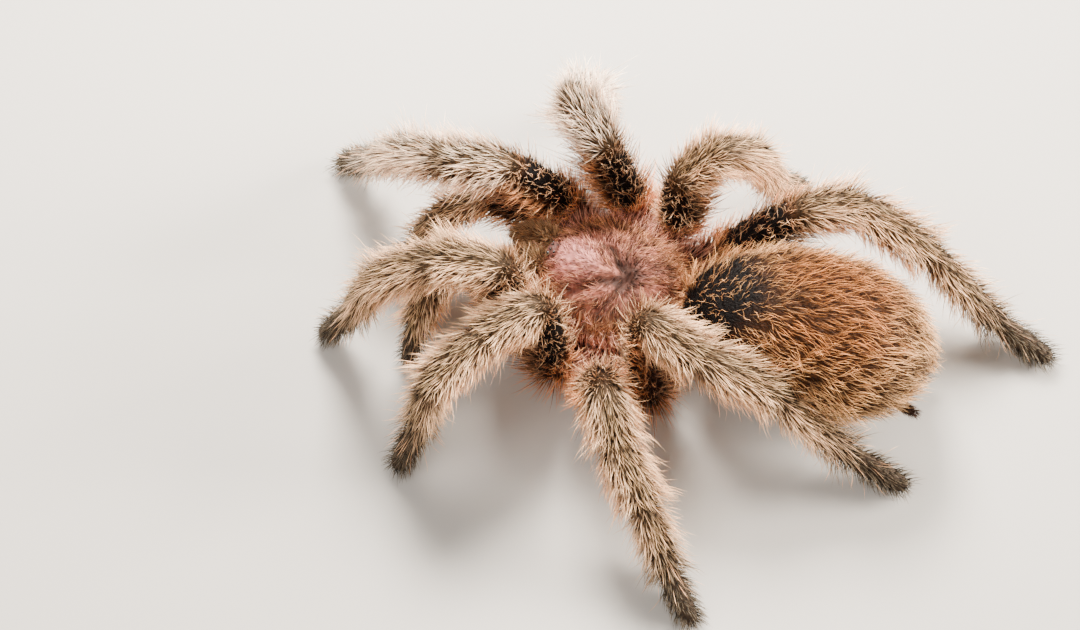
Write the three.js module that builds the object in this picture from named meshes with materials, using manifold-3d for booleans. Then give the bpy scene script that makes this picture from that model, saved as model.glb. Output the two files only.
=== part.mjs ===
// A Chilean rose tarantula (adult female) standing at rest with its legs drawn in, at life size.
// Millimetres, +Z up. The head faces -Y and the spider's own left side is +X. The origin lies on the
// floor under the middle of the whole. Each solid reaches out to the tips of the coat that covers it.
import * as THREE from "three";
import Module from "manifold-3d";
import { mergeVertices } from "three/addons/utils/BufferGeometryUtils.js";

const wasm = await Module();
wasm.setup();

// ---- Driving dimensions -------------------------------------------------------------------------

const JOINT_GAP = 0.3; // the thin cut that parts one segment from the next
const SIDES = 10; // sides of a limb's section
const CAP = 0.75; // the length of a rounded end over its radius
const CAP_TURNS = [30, 58, 80]; // degrees round that end at which its rings stand
const SOLE_DEPTH = 0.65; // how much of a foot's rounded tip its small flat sole takes off

// The carapace's front is narrower by the taper and has square shoulders. The head region swells
// above its dome, the fovea is a pit behind the middle, and grooves fan out from it.
const CARAPACE = {
  front: 12.8, back: 11.5, halfWidth: 10, rim: 9.6, dome: 4.6, under: 0.9, taper: 0.38, shoulder: 0.22,
};
const HEAD = { y: -7.4, rise: 1.6, halfWidth: 4.6, halfLength: 5 };
const FOVEA = { y: 3, depth: 1.3, halfWidth: 1.9, halfLength: 0.8 };
const GROOVES = { count: 9, depth: 0.4 };

// The eight eyes sit on one mound in two rows of four: each place is from the mound's middle.
const EYE_MOUND = { y: -10.5, z: 12.6, halves: [1.6, 1.2, 1.3] };
const EYES = {
  front_middle: { x: 0.46, y: -0.45, z: 1.1, radius: 0.3 },
  front_side: { x: 1.14, y: -0.68, z: 0.62, radius: 0.38 },
  rear_middle: { x: 0.78, y: 0.3, z: 1.04, radius: 0.22 },
  rear_side: { x: 1.3, y: 0.4, z: 0.54, radius: 0.33 },
};
const EYE_SOCKET = 1.15; // a socket's size over its eye's

// The jaws droop ahead of the head, blunt at the far end, and each fang folds back under its own.
const CHELICERA = { x: 2.45, y: -14.8, z: 9.4, halves: [2.2, 4.9, 3.4], droop: 18, blunt: 0.16 };
const FANG = { y: -18.6, z: 6.3, reach: 5.8, fold: 0.5, radius: 0.7, taper: 0.86, inward: 0.4, steps: 6 };

// The abdomen is fuller behind and flatter below, and turns a little at the waist.
const ABDOMEN = { length: 43.2, width: 28.6, height: 25.4, z: 13.8, waist: 12, fuller: 0.13, flat: 0.93 };
const ABDOMEN_TURN = 7; // degrees, the rear end to the spider's right
const PEDICEL = { radius: 1.7, z: 6.5, from: -3.2, to: 9 };
const SPINNERET = {
  root: [2.4, 36.6, 5.4],
  joints: [
    { kind: "spinneret", length: 3.4, heading: 150, pitch: -8, scale: 1 },
    { kind: "spinneret", length: 3.2, heading: 164, pitch: 4, scale: 0.84 },
  ],
};
const STERNUM = { y: -0.8, z: 5.6, length: 17, width: 13.5, height: 4.6, taper: 0.22 };
const LIP = { centre: [0, -8.6, 5.2], halves: [2, 1.9, 1.7] };

// Segment lengths from the hip out, as measured on adult females: femur, patella, tibia,
// metatarsus and tarsus. A palp has no metatarsus.
const LEG_LENGTHS = {
  1: [18.2, 10.8, 14.1, 12.5, 8.9],
  2: [16.2, 10.1, 12.2, 11.6, 8.5],
  3: [14.8, 9.1, 10.4, 13.1, 8.5],
  4: [18.0, 9.8, 14.1, 18.6, 10.2],
};
const PALP_LENGTHS = [11.5, 7.4, 8.6, 8.4];

// Where each femur leaves its trochanter on the left side, and where its coxa meets the sternum.
const HIPS = {
  palp: { hip: [8.2, -15.6, 8.0], coxa: [3.0, -7.6, 7.0] },
  1: { hip: [12.2, -12.6, 6.8], coxa: [4.4, -5.6, 6.4] },
  2: { hip: [16.6, -3.2, 5.2], coxa: [5.2, -1.6, 6.0] },
  3: { hip: [16.8, 4.8, 5.2], coxa: [5.0, 2.2, 6.0] },
  4: { hip: [14.2, 13.2, 5.4], coxa: [3.8, 5.6, 6.2] },
};

// The pose, in degrees. thigh, knee and shank are the headings of femur, patella and the rest: 0
// points ahead and 90 straight out to that side. femur, patella, tibia and tarsus are pitches above
// the floor, and the metatarsus takes the pitch that sets the foot down.
const POSE = {
  leg1_left: { thigh: 25, knee: 25, shank: 22.5, femur: 87, patella: 19, tibia: -36, tarsus: -54 },
  leg2_left: { thigh: -33, knee: 54, shank: 67.5, femur: 78, patella: 0, tibia: -9, tarsus: -54 },
  leg3_left: { thigh: 124, knee: 127, shank: 140, femur: 63, patella: -22, tibia: -20, tarsus: -14 },
  leg4_left: { thigh: -52, knee: 172, shank: 182.5, femur: 78, patella: -10, tibia: -16, tarsus: -22 },
  leg1_right: { thigh: -32, knee: -32, shank: 12, femur: 56, patella: 22, tibia: -35, tarsus: -46 },
  leg2_right: { thigh: 11, knee: 11, shank: 83, femur: 70, patella: 46, tibia: -43, tarsus: -54 },
  leg3_right: { thigh: 143, knee: 143, shank: 128, femur: 89, patella: 46, tibia: -41, tarsus: -44 },
  leg4_right: { thigh: 151, knee: 151, shank: 186.5, femur: 44, patella: 7, tibia: -14, tarsus: -15 },
};
const PALP_POSE = {
  palp_left: { thigh: 10, knee: 74, shank: 74, femur: 48, patella: -2, tarsus: -70 },
  palp_right: { thigh: -22, knee: -46, shank: -46, femur: 28, patella: -4, tarsus: -34 },
};

// Half-widths of each kind of segment at its start, middle and end, its depth over its width, and
// the lengths it is divided into.
const GIRTH = {
  coxa: { start: 2.6, middle: 2.75, end: 2.9, deep: 1.05, steps: 1 },
  femur: { start: 2.9, middle: 4.0, end: 3.7, deep: 1.12, steps: 4 },
  patella: { start: 3.9, middle: 4.7, end: 4.2, deep: 1.05, steps: 3 },
  tibia: { start: 4.1, middle: 4.7, end: 3.9, deep: 1.0, steps: 3 },
  metatarsus: { start: 3.8, middle: 3.9, end: 3.1, deep: 1.0, steps: 3 },
  tarsus: { start: 3.1, middle: 2.95, end: 2.3, deep: 0.95, steps: 2 },
  spinneret: { start: 1.3, middle: 1.35, end: 1.15, deep: 1.0, steps: 1 },
};
const LEG_GIRTH = { 1: 1.0, 2: 0.98, 3: 0.98, 4: 1.0 };
const PALP_GIRTH = 0.82;

// ---- Materials ----------------------------------------------------------------------------------

const finish = (color, roughness) => new THREE.MeshStandardMaterial({ color, roughness, metalness: 0 });
const ROSE_CARAPACE = finish(0x9b7069, 0.55);
const TAWNY_COAT = finish(0x8a5b34, 0.9);
const LEG_COAT = finish(0x9c8672, 0.9);
const FOOT_COAT = finish(0x5f5a55, 0.9);
const UNDERSIDE = finish(0x2b211d, 0.85);
const FANG_HORN = finish(0x120c0b, 0.25);
const EYE_LENS = finish(0x0b0a0d, 0.08);

// ---- Solids -------------------------------------------------------------------------------------

const vec = (x, y, z) => new THREE.Vector3(x, y, z);
const radians = THREE.MathUtils.degToRad;
const spider = new THREE.Group();
const SIDE_NAMES = [["left", 1], ["right", -1]];

// Turns a closed three.js geometry into a solid that can be joined and cut.
function solidOf(geometry) {
  const bare = new THREE.BufferGeometry();
  bare.setAttribute("position", geometry.getAttribute("position"));
  bare.setIndex(geometry.index);
  const merged = mergeVertices(bare, 1e-4);
  return new wasm.Manifold(
    new wasm.Mesh({
      numProp: 3,
      vertProperties: new Float32Array(merged.attributes.position.array),
      triVerts: new Uint32Array(merged.index.array),
    }),
  );
}

// Turns a solid back into a three.js geometry.
function geometryOf(solid) {
  const { vertProperties, triVerts } = solid.getMesh();
  const geometry = new THREE.BufferGeometry();
  geometry.setAttribute("position", new THREE.BufferAttribute(vertProperties, 3));
  geometry.setIndex(new THREE.BufferAttribute(triVerts, 1));
  geometry.computeVertexNormals();
  return geometry;
}

// Adds a solid, made in the group's frame, as a named mesh with its own origin at a point of it.
function addNode(name, solid, material, group = spider, at = vec(0, 0, 0)) {
  const geometry = geometryOf(solid).translate(-at.x, -at.y, -at.z);
  const mesh = new THREE.Mesh(geometry, material.clone());
  mesh.name = name;
  mesh.position.copy(at);
  group.add(mesh);
}

// Moves every vertex of a geometry to where place(vertex) says.
function reshape(geometry, place) {
  const at = geometry.getAttribute("position");
  const vertex = vec(0, 0, 0);
  for (let i = 0; i < at.count; i += 1) {
    const moved = place(vertex.fromBufferAttribute(at, i));
    at.setXYZ(i, moved.x, moved.y, moved.z);
  }
  return geometry;
}

// A unit ball with its poles on Z, reshaped by place.
function ball(around, down, place) {
  const geometry = new THREE.SphereGeometry(1, around, down);
  geometry.rotateX(Math.PI / 2);
  return solidOf(reshape(geometry, place));
}

// An egg of the given half-sizes at a centre.
function egg(centre, halves, around, down) {
  const [size, place] = [vec(...halves), vec(...centre)];
  return ball(around, down, (v) => v.clone().multiply(size).add(place));
}

// ---- Limbs --------------------------------------------------------------------------------------

// The half-width at share f of a segment: a parabola through its start, middle and end.
function halfWidth({ start, middle, end }, f) {
  return start * (1 - f) * (1 - 2 * f) + middle * 4 * f * (1 - f) + end * f * (2 * f - 1);
}

// One direction, from a heading on the given side (+1 left, -1 right) and a pitch.
function direction(side, heading, pitch) {
  const [h, p] = [radians(heading), radians(pitch)];
  return vec(side * Math.sin(h) * Math.cos(p), -Math.cos(h) * Math.cos(p), Math.sin(p));
}

// The straight segments of a limb, each with its joints a and b, its axis and its sideways axis.
function segmentsOf(side, hip, parts) {
  let a = vec(side * hip[0], hip[1], hip[2]);
  return parts.map(({ kind, length, heading, pitch, scale = 1 }) => {
    const axis = direction(side, heading, pitch);
    const across = vec(0, 0, 1).cross(direction(side, heading, 0));
    const b = a.clone().addScaledVector(axis, length);
    const segment = { a, b, axis, across, length, scale, girth: GIRTH[kind] };
    a = b;
    return segment;
  });
}

const ROOM_AT_ENDS = 0.9; // the share of a room's spare that its two ends get

// The plane that halves the bend between two axes, as its normal.
const mitre = (before, after) => before.clone().add(after).normalize();

// One closed tube along the run of segments. Its ends lie on the mitre planes with the neighbours,
// half a joint gap back, and a limb's free end is rounded. spare thickens it, to cut room with.
function limbSolid(run, before, after, spare = 0) {
  const firstPlane = before ? mitre(before.axis, run[0].axis) : run[0].axis;
  const gap = JOINT_GAP / 2 - ROOM_AT_ENDS * spare;
  const rings = []; // each takes a place on the unit circle, or its middle, to a point of the tube
  run.forEach((s, i) => {
    const up = s.axis.clone().cross(s.across);
    const startPlane = i ? mitre(run[i - 1].axis, s.axis) : firstPlane;
    const next = run[i + 1] ?? after;
    const endPlane = next ? mitre(s.axis, next.axis) : s.axis;
    const startGap = i ? 0 : gap;
    const endGap = run[i + 1] ? 0 : gap;
    const reach = (offset, plane) => -offset.dot(plane) / s.axis.dot(plane);
    const at = (f, swell, lead) => (c, sn) => {
      const r = (halfWidth(s.girth, f) * s.scale + spare) * swell;
      const out = s.across.clone().multiplyScalar(c * r).addScaledVector(up, sn * r * s.girth.deep);
      const from = reach(out, startPlane) + startGap / s.axis.dot(startPlane);
      const to = s.length + reach(out, endPlane) - endGap / s.axis.dot(endPlane);
      return s.a.clone().add(out).addScaledVector(s.axis, from + (to - from) * f + lead);
    };
    const { steps } = s.girth;
    for (let k = i ? 1 : 0; k <= steps; k += 1) rings.push(at(k / steps, 1, 0));
    if (!next) {
      const r = halfWidth(s.girth, 1) * s.scale;
      const round = (turn) => at(1, Math.cos(radians(turn)), r * CAP * Math.sin(radians(turn)));
      rings.push(...CAP_TURNS.map(round));
    }
  });
  const count = rings.length - 1;
  const tube = new THREE.CylinderGeometry(1, 1, 1, SIDES, count);
  return solidOf(reshape(tube, (v) => rings[Math.round((0.5 - v.y) * count)](v.x, v.z)));
}

// How high a foot's centreline ends, so that the floor takes the sole's depth off its tip.
function tipHeight({ pitch, scale }) {
  const radius = GIRTH.tarsus.end * scale;
  const ahead = CAP * radius * Math.sin(radians(pitch));
  const down = GIRTH.tarsus.deep * radius * Math.cos(radians(pitch));
  return Math.hypot(ahead, down) - SOLE_DEPTH;
}

// A limb's segments, its coxa first. The part without a pitch takes the one that lands the foot.
function limb(side, place, parts) {
  const coxa = vec(side * place.coxa[0], place.coxa[1], place.coxa[2]);
  const hip = vec(side * place.hip[0], place.hip[1], place.hip[2]);
  const rise = (part) => part.length * Math.sin(radians(part.pitch));
  const free = parts.find((part) => part.pitch === undefined);
  const fixed = parts.filter((part) => part !== free).reduce((sum, part) => sum + rise(part), hip.z);
  free.pitch = THREE.MathUtils.radToDeg(Math.asin((tipHeight(parts.at(-1)) - fixed) / free.length));
  const axis = hip.clone().sub(coxa).normalize();
  const across = vec(0, 0, 1).cross(axis).normalize();
  const { scale } = parts[0];
  const root = { a: coxa, b: hip, axis, across, length: hip.distanceTo(coxa), scale, girth: GIRTH.coxa };
  return [root, ...segmentsOf(side, place.hip, parts)];
}

const LEG_KINDS = ["femur", "patella", "tibia", "metatarsus", "tarsus"];
const PALP_KINDS = ["femur", "patella", "tibia", "tarsus"];
const sideOf = (name) => (name.endsWith("left") ? 1 : -1);

// A limb's segments as kind, length, heading and pitch.
function partsOf(kinds, lengths, pose, scale) {
  return kinds.map((kind, i) => ({
    kind,
    length: lengths[i],
    heading: [pose.thigh, pose.knee][i] ?? pose.shank,
    pitch: pose[kind],
    scale,
  }));
}

const limbs = {};
for (const [name, pose] of Object.entries(POSE)) {
  const pair = name[3];
  const parts = partsOf(LEG_KINDS, LEG_LENGTHS[pair], pose, LEG_GIRTH[pair]);
  limbs[name] = limb(sideOf(name), HIPS[pair], parts);
}
for (const [name, pose] of Object.entries(PALP_POSE)) {
  const parts = partsOf(PALP_KINDS, PALP_LENGTHS, pose, PALP_GIRTH);
  limbs[name] = limb(sideOf(name), HIPS.palp, parts);
}

// The nodes of a limb: each one's name and the first and last of its segments, counting the coxa.
const LIMB_NODES = [
  { part: "femur", first: 1, last: 1, material: LEG_COAT },
  { part: "patella", first: 2, last: 2, material: LEG_COAT },
  { part: "tibia", first: 3, last: 3, material: LEG_COAT },
  { part: "foot", first: 4, last: 5, material: FOOT_COAT },
];

const UNDER_FLOOR = { size: 400, depth: 20 }; // a block that reaches past every foot
const { size: floorSize, depth: floorDepth } = UNDER_FLOOR;
const floorBlock = new THREE.BoxGeometry(floorSize, floorSize, floorDepth);
const underFloor = solidOf(floorBlock.translate(0, 0, -floorDepth / 2));

// The room that a limb's femur takes up, with the joint gap around it.
const femurRoom = ([coxa, femur, patella]) => limbSolid([femur], coxa, patella, JOINT_GAP);

// The segments that press against the first leg's femur on their side, and are cut clear of it.
const PRESSED = { palp_left: ["femur"], palp_right: ["femur"], leg2_left: ["femur", "patella"] };

// A limb's nodes stand in a group at its hip, each with its origin at its own joint.
for (const [name, segments] of Object.entries(limbs)) {
  const group = new THREE.Group();
  const hip = segments[1].a;
  group.position.copy(hip);
  spider.add(group);
  for (const { part, first, last, material } of LIMB_NODES) {
    const run = segments.slice(first, last + 1);
    let solid = limbSolid(run, segments[first - 1], segments[last + 1]).subtract(underFloor);
    if (PRESSED[name]?.includes(part)) {
      solid = solid.subtract(femurRoom(limbs[name.endsWith("left") ? "leg1_left" : "leg1_right"]));
    }
    const local = solid.translate([-hip.x, -hip.y, -hip.z]);
    addNode(`${name}_${part}`, local, material, group, segments[first].a.clone().sub(hip));
  }
}

// ---- Carapace and eyes --------------------------------------------------------------------------

// A bell curve over the carapace, 1 at (0, y), that falls off over the given half-sizes.
const bell = (x, y, at) => Math.exp(-((x / at.halfWidth) ** 2) - ((y - at.y) / at.halfLength) ** 2);

// A point of the carapace, from its unit ball. extra grows it, to cut room with.
function carapacePoint(v, extra) {
  const forward = Math.max(0, -v.y);
  const taper = 1 - CARAPACE.taper * forward ** 3;
  const shoulder = 1 + CARAPACE.shoulder * forward * Math.abs(v.x);
  const x = v.x * (CARAPACE.halfWidth + extra) * taper * shoulder;
  const y = v.y * ((v.y < 0 ? CARAPACE.front : CARAPACE.back) + extra);
  if (v.z <= 0) return vec(x, y, CARAPACE.rim - extra + v.z * CARAPACE.under);
  const swell = HEAD.rise * bell(x, y, HEAD);
  const pit = FOVEA.depth * bell(x, y, FOVEA);
  const fan = Math.cos(GROOVES.count * Math.atan2(x, y - FOVEA.y)) * (1 - v.z);
  const groove = GROOVES.depth * fan * (Math.hypot(x, y - FOVEA.y) / CARAPACE.back);
  return vec(x, y, CARAPACE.rim + extra + v.z * (CARAPACE.dome + swell + groove - pit));
}

const mound = egg([0, EYE_MOUND.y, EYE_MOUND.z], EYE_MOUND.halves, 14, 8);
const carapaceRoom = ball(20, 8, (v) => carapacePoint(v, JOINT_GAP + 0.2));
let carapace = ball(24, 12, (v) => carapacePoint(v, 0)).add(mound);
for (const [name, eye] of Object.entries(EYES)) {
  for (const [sideName, side] of SIDE_NAMES) {
    const centre = [side * eye.x, EYE_MOUND.y + eye.y, EYE_MOUND.z + eye.z];
    const round = (radius) => egg(centre, [radius, radius, radius], 7, 5);
    carapace = carapace.subtract(round(eye.radius * EYE_SOCKET));
    addNode(`eye_${name}_${sideName}`, round(eye.radius), EYE_LENS);
  }
}
addNode("carapace", carapace, ROSE_CARAPACE);

// ---- Chelicerae and fangs -----------------------------------------------------------------------

// extra grows a jaw or a fang, to cut room with.
function chelicera(side, extra) {
  const droop = radians(CHELICERA.droop);
  const [across, along, deep] = CHELICERA.halves.map((half) => half + extra);
  return ball(12, 8, (v) => {
    const blunt = 1 + CHELICERA.blunt * v.y * v.y;
    const body = vec(v.x * across * blunt, v.y * along, v.z * deep * blunt);
    body.applyAxisAngle(vec(1, 0, 0), droop);
    return body.add(vec(side * CHELICERA.x, CHELICERA.y, CHELICERA.z));
  });
}

// A fang is a horn swept along a quarter of an ellipse.
function fang(side, extra) {
  const curve = (f) => {
    const turn = (f * Math.PI) / 2;
    const back = FANG.reach * (1 - Math.cos(turn));
    const down = FANG.reach * FANG.fold * Math.sin(turn);
    return vec(side * (CHELICERA.x - FANG.inward * f), FANG.y + back, FANG.z - down);
  };
  const horn = new THREE.CylinderGeometry(1, 1, 1, 7, FANG.steps);
  return solidOf(
    reshape(horn, (v) => {
      const f = Math.round((0.5 - v.y) * FANG.steps) / FANG.steps;
      const ahead = curve(f + 0.01).sub(curve(f - 0.01)).normalize();
      const across = vec(1, 0, 0);
      const up = ahead.clone().cross(across).normalize();
      const radius = FANG.radius * (1 - FANG.taper * f) + extra;
      const middle = curve(f).addScaledVector(ahead, extra * (2 * f - 1));
      return middle.addScaledVector(across, v.x * radius).addScaledVector(up, v.z * radius);
    }),
  );
}

for (const [sideName, side] of SIDE_NAMES) {
  const jaw = chelicera(side, 0).subtract(carapaceRoom).subtract(fang(side, JOINT_GAP));
  addNode(`chelicera_${sideName}`, jaw, UNDERSIDE);
  addNode(`fang_${sideName}`, fang(side, 0), FANG_HORN);
}

// ---- Underside: sternum, lip and the ten coxae --------------------------------------------------

// The sternum is widest in front and pointed behind.
const sternum = ball(14, 8, (v) => {
  const halves = vec(STERNUM.width, STERNUM.length, STERNUM.height).divideScalar(2);
  const point = v.clone().multiply(halves).add(vec(0, STERNUM.y, STERNUM.z));
  return point.multiply(vec(1 - STERNUM.taper * v.y, 1, 1));
});
const lip = egg(LIP.centre, LIP.halves, 10, 6);
const coxae = Object.values(limbs).map(([coxa, femur]) => limbSolid([coxa], undefined, femur));
const rooms = [carapaceRoom, chelicera(1, JOINT_GAP), chelicera(-1, JOINT_GAP)];
rooms.push(femurRoom(limbs.leg1_left), femurRoom(limbs.leg1_right));
const underside = wasm.Manifold.union([sternum, lip, ...coxae]);
addNode("sternum_coxae", underside.subtract(wasm.Manifold.union(rooms)), UNDERSIDE);

// ---- Abdomen, waist and spinnerets --------------------------------------------------------------

const rear = new THREE.Group();
rear.position.set(0, ABDOMEN.waist, 0);
rear.rotation.z = radians(ABDOMEN_TURN);
spider.add(rear);

const abdomen = ball(20, 12, (v) => {
  const girth = (1 + ABDOMEN.fuller * v.y) / 2;
  const flat = v.z < 0 ? ABDOMEN.flat : 1;
  const x = v.x * ABDOMEN.width * girth;
  const z = ABDOMEN.z + v.z * ABDOMEN.height * girth * flat;
  return vec(x, ((1 + v.y) * ABDOMEN.length) / 2, z);
});

const stalk = new THREE.CylinderGeometry(PEDICEL.radius, PEDICEL.radius, PEDICEL.to - PEDICEL.from, 10);
const pedicel = solidOf(stalk.translate(0, (PEDICEL.from + PEDICEL.to) / 2, PEDICEL.z));

// A spinneret is a tapering feeler of two joints, from under the abdomen's rear end.
function spinneret(side, extra) {
  const run = segmentsOf(side, SPINNERET.root, SPINNERET.joints);
  return limbSolid(run, undefined, undefined, extra);
}

// The left hind leg is pressed along the abdomen's side and lies in a shallow hollow of its coat.
const [, hindFemur, ...hindShank] = limbs.leg4_left;
const hollow = limbSolid(hindShank, hindFemur, undefined, JOINT_GAP)
  .translate([0, -ABDOMEN.waist, 0])
  .rotate([0, 0, -ABDOMEN_TURN]);
const clearings = wasm.Manifold.union([hollow, spinneret(1, JOINT_GAP), spinneret(-1, JOINT_GAP)]);
addNode("abdomen", abdomen.add(pedicel).subtract(clearings), TAWNY_COAT, rear);
for (const [sideName, side] of SIDE_NAMES) {
  addNode(`spinneret_${sideName}`, spinneret(side, 0), UNDERSIDE, rear);
}

// ---- The whole, moved so that the origin is under its middle ------------------------------------

const middle = new THREE.Box3().setFromObject(spider).getCenter(vec(0, 0, 0));
spider.position.set(-middle.x, -middle.y, 0);

export default spider;
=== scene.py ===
import math

import bpy
import numpy as np
from mathutils import Matrix, Vector


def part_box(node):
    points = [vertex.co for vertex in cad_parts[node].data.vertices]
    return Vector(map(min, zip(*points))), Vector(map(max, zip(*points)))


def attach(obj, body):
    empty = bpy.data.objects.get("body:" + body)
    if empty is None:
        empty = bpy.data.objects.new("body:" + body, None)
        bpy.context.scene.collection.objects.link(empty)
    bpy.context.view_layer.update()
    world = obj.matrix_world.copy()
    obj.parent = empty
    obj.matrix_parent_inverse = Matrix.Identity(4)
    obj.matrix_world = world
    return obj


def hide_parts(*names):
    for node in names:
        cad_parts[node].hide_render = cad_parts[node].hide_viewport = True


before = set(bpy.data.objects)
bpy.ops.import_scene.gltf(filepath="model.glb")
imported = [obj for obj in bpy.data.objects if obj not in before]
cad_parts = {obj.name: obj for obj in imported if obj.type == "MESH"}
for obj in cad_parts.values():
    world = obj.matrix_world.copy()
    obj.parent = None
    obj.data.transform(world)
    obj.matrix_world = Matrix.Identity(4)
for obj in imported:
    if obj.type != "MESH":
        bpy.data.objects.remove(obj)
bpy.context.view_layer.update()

# ---- Floor, light and camera --------------------------------------------------------------------
# The spider stands on a plain pale sheet under soft studio boxes: a small one close over its right
# side, a strong one behind its tail that lights the hair tips, and a wide one over its left.

MM = 0.001
carapace_low, carapace_high = (np.array(corner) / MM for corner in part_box("carapace"))
CARAPACE_BACK = 11.5  # mm from the body's middle to the carapace's rear edge
# The body's own measurements start from its middle, on the floor.
BODY_MIDDLE = np.array([(carapace_low + carapace_high)[0] / 2, carapace_high[1] - CARAPACE_BACK, 0.0])


def mesh_piece(name, points, triangles, material, smooth=True):
    """A mesh object from points in millimetres, measured from the body's middle, and triangles."""
    mesh = bpy.data.meshes.new(name)
    mesh.vertices.add(len(points))
    mesh.vertices.foreach_set("co", ((points + BODY_MIDDLE) * MM).astype(np.float32).ravel())
    mesh.loops.add(triangles.size)
    mesh.loops.foreach_set("vertex_index", triangles.astype(np.int32).ravel())
    mesh.polygons.add(len(triangles))
    mesh.polygons.foreach_set("loop_start", np.arange(0, triangles.size, 3, dtype=np.int32))
    mesh.polygons.foreach_set("use_smooth", np.full(len(triangles), smooth))
    mesh.update(calc_edges=True)
    mesh.materials.append(material)
    piece = bpy.data.objects.new(name, mesh)
    bpy.context.scene.collection.objects.link(piece)
    return piece


def linear(hex_colour):
    """The linear colour of a hex number: each byte's share of 255, with the screen's curve undone."""
    share = np.array([(hex_colour >> shift) & 255 for shift in (16, 8, 0)]) / 255
    return np.where(share > 0.04045, ((share + 0.055) / 1.055) ** 2.4, share / 12.92)


def add_node(tree, kind, values=(), **settings):
    """A node of a tree, with its inputs' values and its own settings by name."""
    node = tree.nodes.new(kind)
    for key, value in dict(values).items():
        node.inputs[key].default_value = value
    for key, value in settings.items():
        setattr(node, key, value)
    return node


def plain_material(name, colour, roughness, values=()):
    """A material, its node tree and its shader, with a hex colour, a roughness and other values."""
    material = bpy.data.materials.new(name)
    material.use_nodes = True
    tree = material.node_tree
    shader = tree.nodes["Principled BSDF"]
    values = {"Base Color": (*linear(colour), 1), "Roughness": roughness, **dict(values)}
    for key, value in values.items():
        shader.inputs[key].default_value = value
    return material, tree, shader


def speckle(tree, scale):
    """A noise of a scale on a piece's own coordinates."""
    place = add_node(tree, "ShaderNodeTexCoord")
    noise = add_node(tree, "ShaderNodeTexNoise", {"Scale": scale})
    tree.links.new(place.outputs["Object"], noise.inputs["Vector"])
    return noise.outputs["Fac"]


def raise_by(tree, shader, height, distance, strength=1.0):
    """A bump on a shader: the surface is raised by a height from 0 to 1, times a distance in metres."""
    bump = add_node(tree, "ShaderNodeBump", {"Distance": distance, "Strength": strength})
    tree.links.new(height, bump.inputs["Height"])
    tree.links.new(bump.outputs["Normal"], shader.inputs["Normal"])


floor_material, floor_tree, floor_shader = plain_material("pale_sheet", 0xCFC9C1, 0.85)
raise_by(floor_tree, floor_shader, speckle(floor_tree, 900.0), 0.0002, 0.04)
FLOOR_HALF = 1500.0  # mm
corners = np.array([[-1, -1, 0], [1, -1, 0], [1, 1, 0], [-1, 1, 0]]) * FLOOR_HALF
floor = mesh_piece("floor", corners, np.array([[0, 1, 2], [0, 2, 3]]), floor_material, smooth=False)

ROOM_COLOUR, ROOM_LIGHT = (1.0, 0.97, 0.93, 1), 0.27
world = bpy.data.worlds.new("studio")
bpy.context.scene.world = world
world.use_nodes = True
room = world.node_tree.nodes["Background"]
room.inputs["Color"].default_value = ROOM_COLOUR
room.inputs["Strength"].default_value = ROOM_LIGHT

CAMERA = {"lens": 100.0, "azimuth": 116.6, "elevation": 61.84, "roll": -2.0, "distance": 500.0,
          "target": (9.89, -8.62, 8.0)}
azimuth, elevation, roll = (math.radians(CAMERA[key]) for key in ("azimuth", "elevation", "roll"))
back = Vector((math.sin(azimuth) * math.cos(elevation), -math.cos(azimuth) * math.cos(elevation),
               math.sin(elevation)))
flat_right = Vector((math.cos(azimuth), math.sin(azimuth), 0))
flat_up = back.cross(flat_right)
right = flat_right * math.cos(roll) + flat_up * math.sin(roll)
up = flat_up * math.cos(roll) - flat_right * math.sin(roll)
target = (Vector(CAMERA["target"]) + Vector(BODY_MIDDLE)) * MM
view = bpy.data.cameras.new("camera")
view.lens = CAMERA["lens"]
view.sensor_fit = "HORIZONTAL"
view.clip_start = 0.02
view.clip_end = 20
camera = bpy.data.objects.new("camera", view)
camera.matrix_world = Matrix.Translation(target + back * CAMERA["distance"] * MM) @ Matrix(
    (right, up, back)).transposed().to_4x4()
bpy.context.scene.collection.objects.link(camera)
bpy.context.scene.camera = camera

# Each studio box: where it stands from the spider, its width and height, all in metres, its power in
# watts, and its colour.
STUDIO_BOXES = {
    "key": ((-0.22, -0.13, 0.26), 0.13, 0.11, 6.4, (1.0, 0.945, 0.87)),
    "rim": ((-0.45, 0.62, 0.32), 0.35, 0.25, 28.0, (1.0, 0.94, 0.86)),
    "fill": ((0.5, -0.35, 0.7), 0.6, 0.5, 6.0, (1.0, 0.97, 0.94)),
}
for name, (place, width, height, power, colour) in STUDIO_BOXES.items():
    lamp = bpy.data.lights.new(name, "AREA")
    lamp.shape = "RECTANGLE"
    lamp.size, lamp.size_y, lamp.energy, lamp.color = width, height, power, colour
    box = bpy.data.objects.new(name, lamp)
    box.location = place
    box.rotation_euler = (-Vector(place)).to_track_quat("-Z", "Y").to_euler()
    bpy.context.scene.collection.objects.link(box)

# ---- Skin ---------------------------------------------------------------------------------------
# The soft body under the coat: ten jointed limbs on their coxae, the sternum and lip, the jaws, the
# narrow waist, the abdomen and its spinnerets. It is one unbroken skin, grown together by a remesh.

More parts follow.
